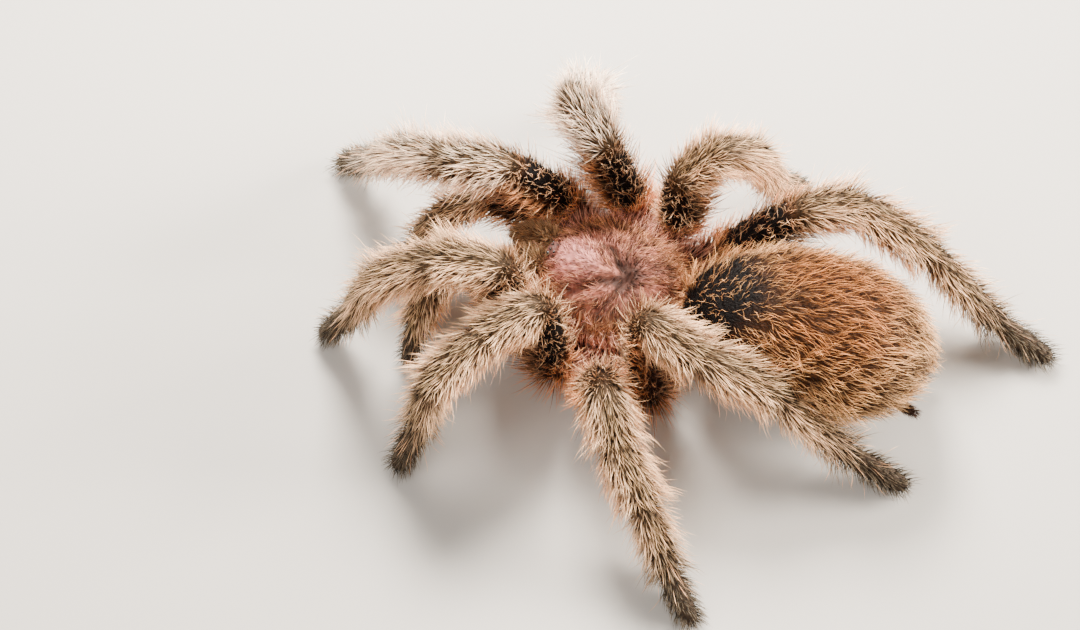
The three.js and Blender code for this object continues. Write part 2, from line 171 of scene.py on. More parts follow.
ROW = 0.25  # mm between the rings of a limb
ROUNDED_OVER = {"centre": 3.4, "across": 4.0, "radius": 1.2, "spinneret": 2.0}  # rows at a joint
TIP_PAST = 0.75  # mm that a limb of full girth goes on past its last joint
LEG_LENGTHS = {
    "1": [18.2, 10.8, 14.1, 12.5, 8.9],
    "2": [16.2, 10.1, 12.2, 11.6, 8.5],
    "3": [14.8, 9.1, 10.4, 13.1, 8.5],
    "4": [18.0, 9.8, 14.1, 18.6, 10.2],
}
PALP_LENGTHS = [11.5, 7.4, 8.6, 8.4]
HIPS = {  # each hip, and where its coxa meets the sternum, on the left side
    "palp": ((8.2, -15.6, 8.0), (3.0, -7.6, 7.0)),
    "1": ((12.2, -12.6, 6.8), (4.4, -5.6, 6.4)),
    "2": ((16.6, -3.2, 5.2), (5.2, -1.6, 6.0)),
    "3": ((16.8, 4.8, 5.2), (5.0, 2.2, 6.0)),
    "4": ((14.2, 13.2, 5.4), (3.8, 5.6, 6.2)),
}
# Headings of femur, patella and the rest, then pitches: femur, patella, tibia, metatarsus and tarsus
# in a leg, and femur, patella, tibia and tarsus in a palp. None takes the pitch that lands the foot.
POSE = {
    "leg1_left": (25, 25, 22.5, [87, 19, -36, None, -54]),
    "leg2_left": (-33, 54, 67.5, [78, 0, -9, None, -54]),
    "leg3_left": (124, 127, 140, [63, -22, -20, None, -14]),
    "leg4_left": (-52, 172, 182.5, [78, -10, -16, None, -22]),
    "leg1_right": (-32, -32, 12, [56, 22, -35, None, -46]),
    "leg2_right": (11, 11, 83, [70, 46, -43, None, -54]),
    "leg3_right": (143, 143, 128, [89, 46, -41, None, -44]),
    "leg4_right": (151, 151, 186.5, [44, 7, -14, None, -15]),
    "palp_left": (10, 74, 74, [48, -2, None, -70]),
    "palp_right": (-22, -46, -46, [28, -4, None, -34]),
}
LIMB_GIRTH = {"1": 1.0, "2": 0.98, "3": 0.98, "4": 1.0, "palp": 0.82}
FOOT = {"radius": 2.3, "deep": 0.95, "cap": 0.75, "sole": 0.65}  # the coated foot that rests on the floor
# The flesh's radius at places along a limb: 0 to 1 is the coxa, and femur, patella, tibia,
# metatarsus and tarsus follow.
FLESH = np.array([
    (0, 2.1), (0.7, 2.3), (0.95, 2.05), (1.05, 2.05), (1.15, 2.5), (1.45, 2.85), (1.85, 2.6),
    (1.98, 2.15), (2.04, 2.15), (2.2, 2.65), (2.5, 2.8), (2.85, 2.55), (2.98, 2.05), (3.04, 2.05),
    (3.15, 2.5), (3.5, 2.65), (3.88, 2.3), (3.98, 1.85), (4.04, 1.8), (4.14, 2.05), (4.5, 2.0),
    (4.9, 1.75), (4.98, 1.55), (5.03, 1.55), (5.2, 1.85), (5.5, 1.8), (5.8, 1.55), (6, 1.2)])
DEEP = 1.06  # a limb's flesh is this much deeper than wide


def heading_pitch(side, heading, pitch):
    """The direction of a heading and a pitch in degrees: 0 is straight ahead, 90 out to the side."""
    h, p = np.radians([heading, pitch])
    return np.array([side * np.sin(h) * np.cos(p), -np.cos(h) * np.cos(p), np.sin(p)])


def rounded(rows, spread):
    """Each row as the average of its neighbours under a bell curve; the ends run on straight."""
    reach = int(4 * spread)
    before = rows[0] + np.arange(-reach, 0)[:, None] * (rows[1] - rows[0])
    after = rows[-1] + np.arange(1, reach + 1)[:, None] * (rows[-1] - rows[-2])
    long = np.vstack([before, rows, after])
    bell = np.exp(-0.5 * (np.arange(-reach, reach + 1) / spread) ** 2)
    return np.stack([np.convolve(column, bell / bell.sum(), "valid") for column in long.T], axis=1)


def unit(rows):
    """Vectors scaled to length 1."""
    return rows / np.maximum(np.linalg.norm(rows, axis=-1, keepdims=True), 1e-9)


def along_joints(joints, past):
    """How far along its chain each joint lies, distances every ROW mm that go on past its end, and the
    points there, straight between joints."""
    reach = np.concatenate([[0], np.cumsum(np.linalg.norm(np.diff(joints, axis=0), axis=1))])
    along = np.arange(0, reach[-1] + past, ROW)
    return reach, along, np.stack([np.interp(along, reach, column) for column in joints.T], axis=1)


def limb_rows(name):
    """The rows of a limb, every ROW mm from its coxa to its tip. Each has a centre, an axis, the
    upward and the rearward direction across it, a place along FLESH, and a radius."""
    pair = name[3] if name.startswith("leg") else "palp"
    side = 1 if name.endswith("left") else -1
    lengths = LEG_LENGTHS.get(pair, PALP_LENGTHS)
    thigh, knee, shank, pitches = POSE[name]
    girth = LIMB_GIRTH[pair]
    hip, coxa = (np.array(p) * (side, 1, 1) for p in HIPS[pair])
    ahead = FOOT["cap"] * FOOT["radius"] * girth * math.sin(math.radians(pitches[-1]))
    down = FOOT["deep"] * FOOT["radius"] * girth * math.cos(math.radians(pitches[-1]))
    tip = math.hypot(ahead, down) - FOOT["sole"]
    free = pitches.index(None)
    fixed = hip[2] + sum(n * math.sin(math.radians(p)) for n, p in zip(lengths, pitches) if p is not None)
    landing = math.degrees(math.asin((tip - fixed) / lengths[free]))
    pitches = [landing if p is None else p for p in pitches]
    headings = [thigh, knee] + [shank] * (len(lengths) - 2)
    faces = [thigh if pair == "palp" else knee] + headings[1:]  # a leg's femur bends as its patella does
    joints, rears = [coxa, hip], [unit(np.cross([0, 0, 1], hip - coxa)) * side]
    for length, heading, face, pitch in zip(lengths, headings, faces, pitches):
        joints.append(joints[-1] + heading_pitch(side, heading, pitch) * length)
        rears.append(np.cross([0, 0, 1], heading_pitch(side, face, 0)) * side)
    joints = np.array(joints)
    reach, along, centre = along_joints(joints, TIP_PAST * girth)
    past = along > reach[-1]
    centre[past] += (along[past] - reach[-1])[:, None] * unit(joints[-1] - joints[-2])
    places = np.arange(len(joints), dtype=float)
    places[-1] = 6.0
    place = np.interp(along, reach, places)
    if pair == "palp":  # it has no metatarsus, and its tarsus takes the places from 5 to 6
        place = np.where(place > 4, 5 + (place - 4) / 2, place)
    rear = np.array(rears)[np.clip(np.searchsorted(reach, along, "right") - 1, 0, len(rears) - 1)]
    centre = rounded(centre, ROUNDED_OVER["centre"])
    axis = unit(np.gradient(centre, axis=0))
    rear = rounded(rear, ROUNDED_OVER["across"])
    rear = unit(rear - axis * np.sum(rear * axis, axis=1, keepdims=True))
    upward = unit(np.cross(axis, rear) * side)
    radius = np.interp(place, *FLESH.T) * girth
    radius = rounded(radius[:, None], ROUNDED_OVER["radius"])[:, 0]
    to_end = np.clip((along[-1] - along) / (1.1 * radius[-1]), 0, 1)
    radius = radius * np.sqrt(np.clip(1 - (1 - to_end) ** 2, 0.02, 1))
    return {"centre": centre, "axis": axis, "rear": rear, "upward": upward, "place": place,
            "radius": radius, "along": along, "girth": girth}


LIMBS = {name: limb_rows(name) for name in POSE}


def limb_surface(rows, s, turn):
    """Points of a limb's flesh s mm along it and turned by an angle from its upper side towards its
    rear: the centre, plus the radius times the turn's cosine upwards and its sine rearwards. Also the
    outward normal, the axis and the place."""
    def at(key):
        """A value of the rows at s, between its neighbours."""
        value = rows[key]
        if value.ndim == 1:
            return np.interp(s, rows["along"], value)
        return np.stack([np.interp(s, rows["along"], column) for column in value.T], axis=-1)

    upward, rear, radius = unit(at("upward")), unit(at("rear")), at("radius")
    c, sn = np.cos(turn)[..., None], np.sin(turn)[..., None]
    points = at("centre") + radius[..., None] * (c * upward * DEEP + sn * rear)
    normal = unit(c * upward / DEEP + sn * rear)
    return points, normal, unit(at("axis")), at("place")


def closed_tube(rings):
    """Points and triangles of rings closed at both ends: neighbours are joined, and each end fans
    out from its ring's middle. The faces are turned outwards by the sign of the volume."""
    count, sides = rings.shape[:2]
    points = np.vstack([rings.reshape(-1, 3), rings[0].mean(0), rings[-1].mean(0)])
    i, j = np.meshgrid(np.arange(count - 1), np.arange(sides), indexing="ij")
    a, b = i * sides + j, i * sides + (j + 1) % sides
    c, d = a + sides, b + sides
    walls = np.concatenate([np.stack(corners, -1).reshape(-1, 3) for corners in ((a, b, d), (a, d, c))])
    k = np.arange(sides)
    first, last = len(points) - 2, len(points) - 1
    start = np.stack([np.full(sides, first), (k + 1) % sides, k], -1)
    end = (count - 1) * sides
    finish = np.stack([np.full(sides, last), end + k, end + (k + 1) % sides], -1)
    triangles = np.concatenate([walls, start, finish])
    corners = points[triangles]
    volume = np.einsum("ij,ij->i", corners[:, 0], np.cross(corners[:, 1], corners[:, 2])).sum()
    return points, (triangles if volume > 0 else triangles[:, ::-1])


def full_turn(count):
    """Even angles round a full turn, without its end."""
    return np.linspace(0, 2 * np.pi, count, endpoint=False)


def ball_rings(place, count=40, sides=64):
    """Rings of the unit ball from its +Z pole to its -Z pole, moved by place(x, y, z)."""
    fall = np.linspace(0.02, np.pi - 0.02, count)[:, None]
    turn = full_turn(sides)[None, :]
    x, y, z = np.sin(fall) * np.sin(turn), np.sin(fall) * np.cos(turn), np.cos(fall) + 0 * turn
    return place(x, y, z)


def egg_rings(centre, halves):
    """Rings of an egg: the unit ball times its halves, plus its centre."""
    return ball_rings(lambda x, y, z: np.stack(
        [centre[0] + x * halves[0], centre[1] + y * halves[1], centre[2] + z * halves[2]], -1))


STERNUM = {"y": -0.8, "z": 5.6, "halves": (6.2, 8.0, 1.8), "taper": 0.22}
JAW = {"x": 2.45, "y": -14.8, "z": 9.4, "halves": (1.75, 4.4, 2.9), "droop": 18.0, "blunt": 0.16}


def sternum_point(x, y, z):
    """The sternum: the unit ball times its halves, wider ahead and narrower behind by its taper."""
    hx, hy, hz = STERNUM["halves"]
    taper = 1 - STERNUM["taper"] * y
    return np.stack([x * hx * taper, STERNUM["y"] + y * hy, STERNUM["z"] + z * hz], -1)


def jaw_point(side):
    """A jaw: a blunt egg that droops ahead of the head, on one side."""
    def place(x, y, z):
        """The unit ball times the halves, thicker by the bluntness at both ends, then drooped."""
        hx, hy, hz = JAW["halves"]
        blunt = 1 + JAW["blunt"] * y * y
        droop = math.radians(JAW["droop"])
        px, py, pz = x * hx * blunt, y * hy, z * hz * blunt
        return np.stack([side * JAW["x"] + px, JAW["y"] + py * math.cos(droop) - pz * math.sin(droop),
                         JAW["z"] + py * math.sin(droop) + pz * math.cos(droop)], -1)
    return place


ABDOMEN = {"waist": (0.0, 12.0), "turn": 7.0, "length": 43.2, "width": 28.6, "height": 25.4,
           "z": 13.8, "fuller": 0.13, "flat": 0.93, "coat": 1.5}


def swung(x, y):
    """Places behind the waist, turned about it as the abdomen is."""
    swing = math.radians(ABDOMEN["turn"])
    return (x * math.cos(swing) - y * math.sin(swing) + ABDOMEN["waist"][0],
            x * math.sin(swing) + y * math.cos(swing) + ABDOMEN["waist"][1])


def abdomen_point(fall, turn):
    """The abdomen, by the angle from its front pole and the turn from its upper side to its left: an
    egg, fuller behind and flatter below, swung about the waist. Its flesh lies under the coat."""
    depth = ABDOMEN["coat"]
    y = -np.cos(fall)
    girth = (1 + ABDOMEN["fuller"] * y) * np.sin(fall)
    across, upward = np.sin(turn) * girth, np.cos(turn) * girth
    flat = np.where(upward < 0, ABDOMEN["flat"], 1.0)
    px = across * (ABDOMEN["width"] / 2 - depth)
    py = (1 + y) * ABDOMEN["length"] / 2 - y * depth
    pz = ABDOMEN["z"] + upward * flat * (ABDOMEN["height"] / 2 - depth)
    return np.stack([*swung(px, py), pz], -1)


SPINNERET = {"root": (2.4, 36.6, 5.4), "lengths": (3.4, 3.2), "headings": (150, 164), "pitches": (-8, 4),
             "buried": 0.6, "past": 0.5, "radius": 1.05, "thinner": 0.35, "ring": 0.12,
             "rings": (0.33, 0.62, 0.86)}


def spinneret_rows(side):
    """The rows of a spinneret, every ROW mm: a tapering tube of two joints with three tight rings,
    its root buried in the abdomen."""
    joints = [np.array(SPINNERET["root"]) * (side, 1, 1)]
    for length, heading, pitch in zip(*(SPINNERET[k] for k in ("lengths", "headings", "pitches"))):
        joints.append(joints[-1] + heading_pitch(side, heading, pitch) * length)
    joints[0] = joints[0] - (joints[1] - joints[0]) * SPINNERET["buried"]
    x, y, z = np.array(joints).T
    _, along, centre = along_joints(np.stack([*swung(x, y), z], -1), SPINNERET["past"])
    centre = rounded(centre, ROUNDED_OVER["spinneret"])
    axis = unit(np.gradient(centre, axis=0))
    rear = unit(np.cross([0, 0, 1], axis)) * side
    upward = unit(np.cross(axis, rear) * side)
    share = along / along[-1]
    rings = np.exp(-((share[:, None] - np.array(SPINNERET["rings"])) / 0.03) ** 2).sum(1)
    radius = (SPINNERET["radius"] - SPINNERET["thinner"] * share) * (1 - SPINNERET["ring"] * rings)
    radius = radius * np.sqrt(np.clip(1 - share ** 12, 0.05, 1))
    return {"centre": centre, "axis": axis, "rear": rear, "upward": upward, "place": 7 + share,
            "radius": radius, "along": along}


FEELERS = {f"spinneret_{name}": spinneret_rows(side) for name, side in (("left", 1), ("right", -1))}


def tube_rings(rows, sides=36):
    """All the rings of a limb's flesh."""
    s, turn = np.broadcast_arrays(rows["along"][:, None], full_turn(sides)[None, :])
    return limb_surface(rows, s, turn)[0]


WAIST = {"radius": 1.3, "y": 10.0, "z": 6.8, "from": -3.2, "to": 16.0, "rise": 0.11,
         "straight": 6.0, "swing": 0.122}


def waist_rings(count=24):
    """The waist: circles of one radius along a line that climbs by its rise, and past its straight
    part swings aside with the abdomen."""
    past = np.linspace(WAIST["from"], WAIST["to"], count)[:, None]
    turn = full_turn(count)[None, :]
    x = WAIST["radius"] * np.sin(turn) - WAIST["swing"] * np.maximum(past - WAIST["straight"], 0)
    z = WAIST["z"] + WAIST["rise"] * past + WAIST["radius"] * np.cos(turn)
    return np.stack([x, WAIST["y"] + past + 0 * turn, z], -1)


def ball_grid(falls, turns, pole):
    """A grid of falls from a ball's top and turns round it, which stops short of both poles."""
    return np.meshgrid(np.linspace(pole, np.pi - pole, falls), full_turn(turns), indexing="ij")


def joined(shells):
    """The points and triangles of several closed shells as one."""
    starts = np.cumsum([0] + [len(points) for points, _ in shells[:-1]])
    return (np.vstack([points for points, _ in shells]),
            np.vstack([triangles + start for (_, triangles), start in zip(shells, starts)]))


LIP = ((0, -8.6, 5.2), (1.7, 1.6, 1.4))
SOFT_SIDES = ((0, -0.3, 8.0), (8.6, 10.6, 2.6))  # the pleats under the carapace's rim
VOXEL = 0.42  # mm
shells = [closed_tube(tube_rings(rows)) for rows in [*LIMBS.values(), *FEELERS.values()]]
shells += [closed_tube(rings) for rings in (
    abdomen_point(*ball_grid(90, 120, 0.01)), waist_rings(), ball_rings(sternum_point),
    ball_rings(jaw_point(1)), ball_rings(jaw_point(-1)), egg_rings(*LIP), egg_rings(*SOFT_SIDES))]
skin_material, skin_tree, skin_shader = plain_material("skin", 0x6B5344, 0.7, {
    "Specular IOR Level": 0.15})
raw_skin = mesh_piece("raw_skin", *joined(shells), skin_material)
remesh = raw_skin.modifiers.new("grow_together", "REMESH")
remesh.mode = "VOXEL"
remesh.voxel_size = VOXEL * MM
soften = raw_skin.modifiers.new("soften", "SMOOTH")
soften.factor = 0.5
soften.iterations = 4
grown = bpy.data.meshes.new_from_object(raw_skin.evaluated_get(bpy.context.evaluated_depsgraph_get()))
bpy.data.objects.remove(raw_skin)
grown.name = "skin"
skin = bpy.data.objects.new("skin", grown)
bpy.context.scene.collection.objects.link(skin)
grown.materials.clear()
grown.materials.append(skin_material)
grown.polygons.foreach_set("use_smooth", np.ones(len(grown.polygons), bool))

# ---- Markings -----------------------------------------------------------------------------------
# What skin and coat share: black velvet patches on the thighs and the front of the abdomen, ashy
# upper sides with cream flanks below the knees, slate feet, salmon hip hair and a tawny abdomen.

CREAM, ASH, SALMON = linear(0xFDCFA2), linear(0xAE8F68), linear(0xF0A46C)
VELVET, SLATE, FAWN = linear(0x0A0504), linear(0x6C5E4B), linear(0x7E5238)
UMBER, TAWNY, GOLD, SAND = linear(0x28130A), linear(0xCE8447), linear(0xECB074), linear(0xECBC86)
AMBER, ROSE, OLIVE = linear(0xE88F4C), linear(0xD28A7C), linear(0x40321F)


def rise(low, high, value):
    """0 below low and 1 above high, with a smooth slope between."""
    t = np.clip((value - low) / (high - low), 0, 1)
    return t * t * (3 - 2 * t)


def blend(a, b, share):
    """Colour a turned into colour b by a share of 0 to 1 at each point."""
    return a + (b - a) * np.asarray(share)[..., None]


def waves(points, size, seed):
    """A smooth random value of about -1 to 1 at points, from eight sine waves of a size in mm."""
    rng = np.random.default_rng(seed)
    runs = rng.normal(size=(8, 3)) * (2 * np.pi / size) * 0.6
    return np.sin(points @ runs.T + rng.uniform(0, 2 * np.pi, 8)).sum(-1) / 3.0


def degrees_off(turn, middle=0):
    """How many degrees a turn lies from a middle angle, once it is brought within half a turn."""
    return np.abs(np.degrees(np.angle(np.exp(1j * turn))) - middle)


def thigh_patch(place, turn):
    """The share of black velvet at a place: all but the underside of the femur, with a wavy edge."""
    off = degrees_off(turn, 20)
    edge = 0.06 * np.sin(5 * turn)
    return rise(1.14, 1.3, place + edge) * rise(2.02, 1.9, place) * rise(118, 97, off)


def bald_stripes(place, turn):
    """The share of the two dark bald lines along the top of patella and tibia, 15 degrees off it."""
    off = np.abs(degrees_off(turn) - 15)
    knee = rise(2.06, 2.14, place) * rise(2.95, 2.8, place)
    shin = rise(3.06, 3.14, place) * rise(3.95, 3.7, place)
    return rise(5.0, 2.0, off) * (knee + 0.7 * shin)


def whorl(place):
    """The share of the dark whorl at the start of each segment below the thigh: a bell over it."""
    return np.exp(-((place[..., None] - np.array([2.04, 3.04, 4.04, 5.03])) / 0.08) ** 2).sum(-1)


def limb_colour(place, turn):
    """The coat's colour on a limb: salmon and amber at the hip, velvet on the thigh, and below it ash
    on top and cream on the flanks, which turn to slate at the foot. A spinneret is umber."""
    off = degrees_off(turn)
    flank = rise(18, 50, off)
    under = rise(95, 140, off)
    colour = blend(blend(ROSE, SALMON, 0.15) * 0.8, SALMON, rise(0.6, 1.15, place))
    colour = blend(colour, AMBER, 0.5 * rise(0.9, 1.1, place))
    # Under the trochanter and thigh the colour turns dark fawn: partly its own colour, partly painted
    # shade beneath the leg.
    colour = blend(colour, FAWN, under * rise(0.9, 1.1, place))
    below = blend(ASH, CREAM, flank)
    below = blend(below, SALMON, np.maximum(under * 0.6, 0.35 * rise(60, 100, off)))
    colour = blend(colour, below, rise(1.97, 2.15, place))
    shin = blend(ASH * 0.9, CREAM * 0.92, flank)
    colour = blend(colour, shin, rise(3.9, 4.2, place))
    colour = blend(colour, SLATE, rise(4.35, 4.95, place))
    colour = blend(colour, VELVET, thigh_patch(place, turn))
    return blend(colour, UMBER, rise(6.5, 7, place))


def abdomen_patch(fall, turn):
    """The share of black velvet on the abdomen: a saddle over the front of its back."""
    off = degrees_off(turn, 8)
    return rise(90, 62, np.degrees(fall) + 0.3 * off) * rise(88, 58, off) * rise(4, 14, np.degrees(fall))


def abdomen_colour(fall, turn):
    """The long hair's colour on the abdomen: tawny on the back, gold then sand towards the flanks and
    the rear, umber below."""
    off = degrees_off(turn)
    colour = blend(TAWNY, GOLD, rise(20, 70, off))
    colour = blend(colour, SAND, np.maximum(rise(60, 100, off), rise(110, 150, np.degrees(fall))) * 0.8)
    return blend(colour, UMBER, rise(120, 155, off))


def nearest_rows(points, rows):
    """How far points lie outside a limb's flesh, and their place, turn and distance along it. Each
    point is set against every fourth row, then moved along that row's axis."""
    centre, radius = rows["centre"][::4], rows["radius"][::4]
    gap = np.empty(len(points))
    index = np.empty(len(points), int)
    batch = 20000
    for start in range(0, len(points), batch):
        part = slice(start, start + batch)
        far = np.sqrt(((points[part, None] - centre[None]) ** 2).sum(-1)) - radius
        index[part], gap[part] = far.argmin(1), far.min(1)
    k = np.minimum(index * 4, len(rows["along"]) - 1)
    off = points - rows["centre"][k]
    s = np.clip(rows["along"][k] + (off * rows["axis"][k]).sum(1), 0, rows["along"][-1])
    turn = np.arctan2((off * rows["rear"][k]).sum(1), (off * rows["upward"][k]).sum(1))
    return gap, np.interp(s, rows["along"], rows["place"]), turn, s


def abdomen_angles(points):
    """How far points lie outside the abdomen's flesh, their fall and their turn: the swing undone,
    then the angles of an egg."""
    swing = math.radians(ABDOMEN["turn"])
    x, y = points[:, 0] - ABDOMEN["waist"][0], points[:, 1] - ABDOMEN["waist"][1]
    ax = x * math.cos(swing) + y * math.sin(swing)
    ay = y * math.cos(swing) - x * math.sin(swing) - ABDOMEN["length"] / 2
    az = points[:, 2] - ABDOMEN["z"]
    v = np.clip(-ay / (ABDOMEN["length"] / 2 - ABDOMEN["coat"]), -1, 1)
    fall, turn = np.arccos(v), np.arctan2(ax / ABDOMEN["width"], az / ABDOMEN["height"])
    surface = abdomen_point(fall, turn)
    middle = np.array([-math.sin(swing), math.cos(swing)]) * ABDOMEN["length"] / 2
    centre = np.array([middle[0], middle[1] + ABDOMEN["waist"][1], ABDOMEN["z"]])
    return np.linalg.norm(points - centre, axis=1) - np.linalg.norm(surface - centre, axis=1), fall, turn


def set_attribute(piece, name, kind, values):
    """Stores one value a vertex on a piece. A colour gets an alpha of 1."""
    if kind == "FLOAT_COLOR":
        values = np.hstack([values, np.ones((len(values), 1))])
    key = {"FLOAT": "value", "FLOAT_COLOR": "color", "FLOAT_VECTOR": "vector"}[kind]
    layer = piece.data.attributes.new(name, kind, "POINT")
    layer.data.foreach_set(key, np.ascontiguousarray(values, np.float32).ravel())


skin_points = np.empty(len(grown.vertices) * 3, np.float32)
grown.vertices.foreach_get("co", skin_points)
skin_points = skin_points.reshape(-1, 3).astype(float) / MM - BODY_MIDDLE
NEAR_LIMB, NEAR_ABDOMEN = 0.35, 0.5  # mm from its flesh within which skin takes a part's colour
best = np.full(len(skin_points), NEAR_LIMB)
skin_colour = blend(UMBER, SALMON, 0.25 + 0 * best)
comb = skin_points[:, :2].copy()
for rows in [*LIMBS.values(), *FEELERS.values()]:
    gap, place, turn, s = nearest_rows(skin_points, rows)
    near = gap < best
    colour = blend(UMBER, limb_colour(place, turn), 0.16 + 0.1 * rise(4.6, 5.2, place))
    colour = blend(colour, OLIVE * 0.6, np.maximum(bald_stripes(place, turn), 0.9 * whorl(place)))
    colour = blend(colour, VELVET, thigh_patch(place, turn))
    skin_colour[near] = colour[near]
    comb[near] = np.stack([turn * 2.2, s], -1)[near]
    best[near] = gap[near]
gap, fall, turn = abdomen_angles(skin_points)
near = gap < np.minimum(best, NEAR_ABDOMEN)
colour = blend(blend(UMBER, TAWNY, 0.1 + 0 * fall), VELVET, abdomen_patch(fall, turn))
skin_colour[near] = colour[near]
comb[near] = np.stack([turn * 12, fall * 20], -1)[near]
set_attribute(skin, "coat_colour", "FLOAT_COLOR", skin_colour)
set_attribute(skin, "comb", "FLOAT_VECTOR", np.hstack([comb, np.zeros((len(best), 1))]))


def shaded_colour(tree, shader, share, share_from_to, low, high):
    """Colours a shader by the coat_colour attribute times a factor, which goes from low to high as a
    share goes over its own range."""
    base = add_node(tree, "ShaderNodeAttribute", attribute_name="coat_colour")
    factor = add_node(tree, "ShaderNodeMapRange", {
        "From Min": share_from_to[0], "From Max": share_from_to[1], "To Min": low, "To Max": high})
    scaled = add_node(tree, "ShaderNodeVectorMath", operation="SCALE")
    tree.links.new(share, factor.inputs["Value"])
    tree.links.new(base.outputs["Color"], scaled.inputs["Vector"])
    tree.links.new(factor.outputs["Result"], scaled.inputs["Scale"])
    tree.links.new(scaled.outputs["Vector"], shader.inputs["Base Color"])


def combed_finish(tree, shader, stretched, distance, strength, low, high):
    """Streaks along the lie of the coat: a noise on the comb attribute, stretched across and along,
    that shades the colour from low to high and raises the surface."""
    lie = add_node(tree, "ShaderNodeAttribute", attribute_name="comb")
    stretch = add_node(tree, "ShaderNodeMapping", {"Scale": (*stretched, 1)})
    noise = add_node(tree, "ShaderNodeTexNoise", {"Scale": 1.0, "Detail": 3.0})
    tree.links.new(lie.outputs["Vector"], stretch.inputs["Vector"])
    tree.links.new(stretch.outputs["Vector"], noise.inputs["Vector"])
    shaded_colour(tree, shader, noise.outputs["Fac"], (0.3, 0.7), low, high)
    raise_by(tree, shader, noise.outputs["Fac"], distance, strength)


combed_finish(skin_tree, skin_shader, (3.2, 0.5), 0.00025, 0.9, 0.5, 1.25)
FLESH_NODES = [f"{limb}_{part}" for limb in POSE for part in ("femur", "patella", "tibia", "foot")]
FLESH_NODES += ["sternum_coxae", "abdomen", "chelicera_left", "chelicera_right", *FEELERS]
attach(skin, "root")
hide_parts(*FLESH_NODES)

# ---- Carapace -----------------------------------------------------------------------------------
# The one hard plate over head and thorax: a rose shield with a raised head, a slit-like fovea where
# muscles pull it in, and furrows fanning out from that. Its short hair is grown on it further down.

SHIELD = {"half_width": 9.55, "front": 12.35, "back": 11.05, "rim": 9.7, "dome": 4.1, "under": 0.7,
          "taper": 0.38, "shoulder": 0.22}
HEAD = {"y": -7.4, "rise": 1.55, "half_width": 4.6, "half_length": 5.0}
CROWN = {"rise": 0.45, "half_width": 3.5, "half_length": 4.4}  # the head's flatter top
FOVEA = {"y": 3.0, "depth": 1.0, "half_width": 1.7, "half_length": 0.6, "bowed": 0.12}
HOLLOW = {"depth": 0.6, "half_width": 3.2, "half_length": 2.4}  # round the fovea
# Each furrow's bearing in degrees from straight ahead, seen from the fovea on both sides, its depth
# in mm and its share of brown.
FURROWS = ((36.0, 0.75, 0.95), (70.0, 0.3, 0.5), (103.0, 0.24, 0.4), (138.0, 0.28, 0.5))


def from_fovea(x, y):
    """How far places are from the fovea, and their bearings in degrees from straight ahead, on either
    side alike. Slow waves shake the bearings, so that furrows wander."""
    ahead = FOVEA["y"] - y
    wander = 9 * waves(np.stack([x, y, 0 * x], -1), 7.0, 6)
    return np.hypot(x, ahead), np.degrees(np.arctan2(np.abs(x), ahead)) + wander


def carapace_point(fall, turn):
    """The carapace, by the angle from its top and the turn from its front to its left: a half ball
    with a narrower front and square shoulders, raised by bells for head and crown, lowered by bells
    for the fovea, its hollow and its furrows, and roughened by small waves."""
    vx, vy, vz = np.sin(fall) * np.sin(turn), -np.sin(fall) * np.cos(turn), np.cos(fall)
    ahead = np.maximum(0, -vy)
    taper = (1 - SHIELD["taper"] * ahead ** 3) * (1 + SHIELD["shoulder"] * ahead * np.abs(vx))
    x, y = vx * SHIELD["half_width"] * taper, vy * np.where(vy < 0, SHIELD["front"], SHIELD["back"])
    off, bearing = from_fovea(x, y)
    dy = y - FOVEA["y"]
    bow = FOVEA["bowed"] * x ** 2
    pit = FOVEA["depth"] * np.exp(
        -((x / FOVEA["half_width"]) ** 2) - ((dy + bow) / FOVEA["half_length"]) ** 2)
    pit = pit + HOLLOW["depth"] * np.exp(
        -((x / HOLLOW["half_width"]) ** 2) - (dy / HOLLOW["half_length"]) ** 2)
    dy = y - HEAD["y"]
    head = HEAD["rise"] * np.exp(-((x / HEAD["half_width"]) ** 2) - (dy / HEAD["half_length"]) ** 2)
    head = head + CROWN["rise"] * np.exp(
        -((x / CROWN["half_width"]) ** 4) - (dy / CROWN["half_length"]) ** 4)
    wide = 0.5 + 0.05 * off
    groove = sum(deep * np.exp(-(np.radians(bearing - angle) * off / wide) ** 2)
                 for angle, deep, _ in FURROWS)
    groove = groove * rise(0.6, 2.4, off) * rise(1.0, 0.8, np.sqrt(vx ** 2 + vy ** 2))
    plan = np.stack([x, y, 0 * x], -1)
    lumps = 0.12 * waves(plan, 2.6, 4) + 0.06 * waves(plan, 1.2, 5)
    upper = SHIELD["rim"] + vz * (SHIELD["dome"] + head - pit - groove + lumps)
    lower = SHIELD["rim"] + vz * SHIELD["under"]
    return np.stack([x, y, np.where(vz > 0, upper, lower)], -1)


def to_rim(x, y):
    """How far out a place on the carapace is: 0 at its middle and 1 at its rim."""
    return np.hypot(x / SHIELD["half_width"], y / np.where(y < 0, SHIELD["front"], SHIELD["back"]))


def gloom(points):
    """The share of dark brown on the carapace: a bell over the fovea, and one along each furrow."""
    x, y = points[:, 0], points[:, 1]
    off, bearing = from_fovea(x, y)
    dark = sum(np.exp(-(np.radians(bearing - angle) * off / 0.85) ** 2) * brown
               for angle, _, brown in FURROWS) * rise(11, 6, off)
    return np.clip(dark + 0.9 * np.exp(-(x / 2.3) ** 2 - ((y - FOVEA["y"]) / 1.4) ** 2), 0, 0.9)


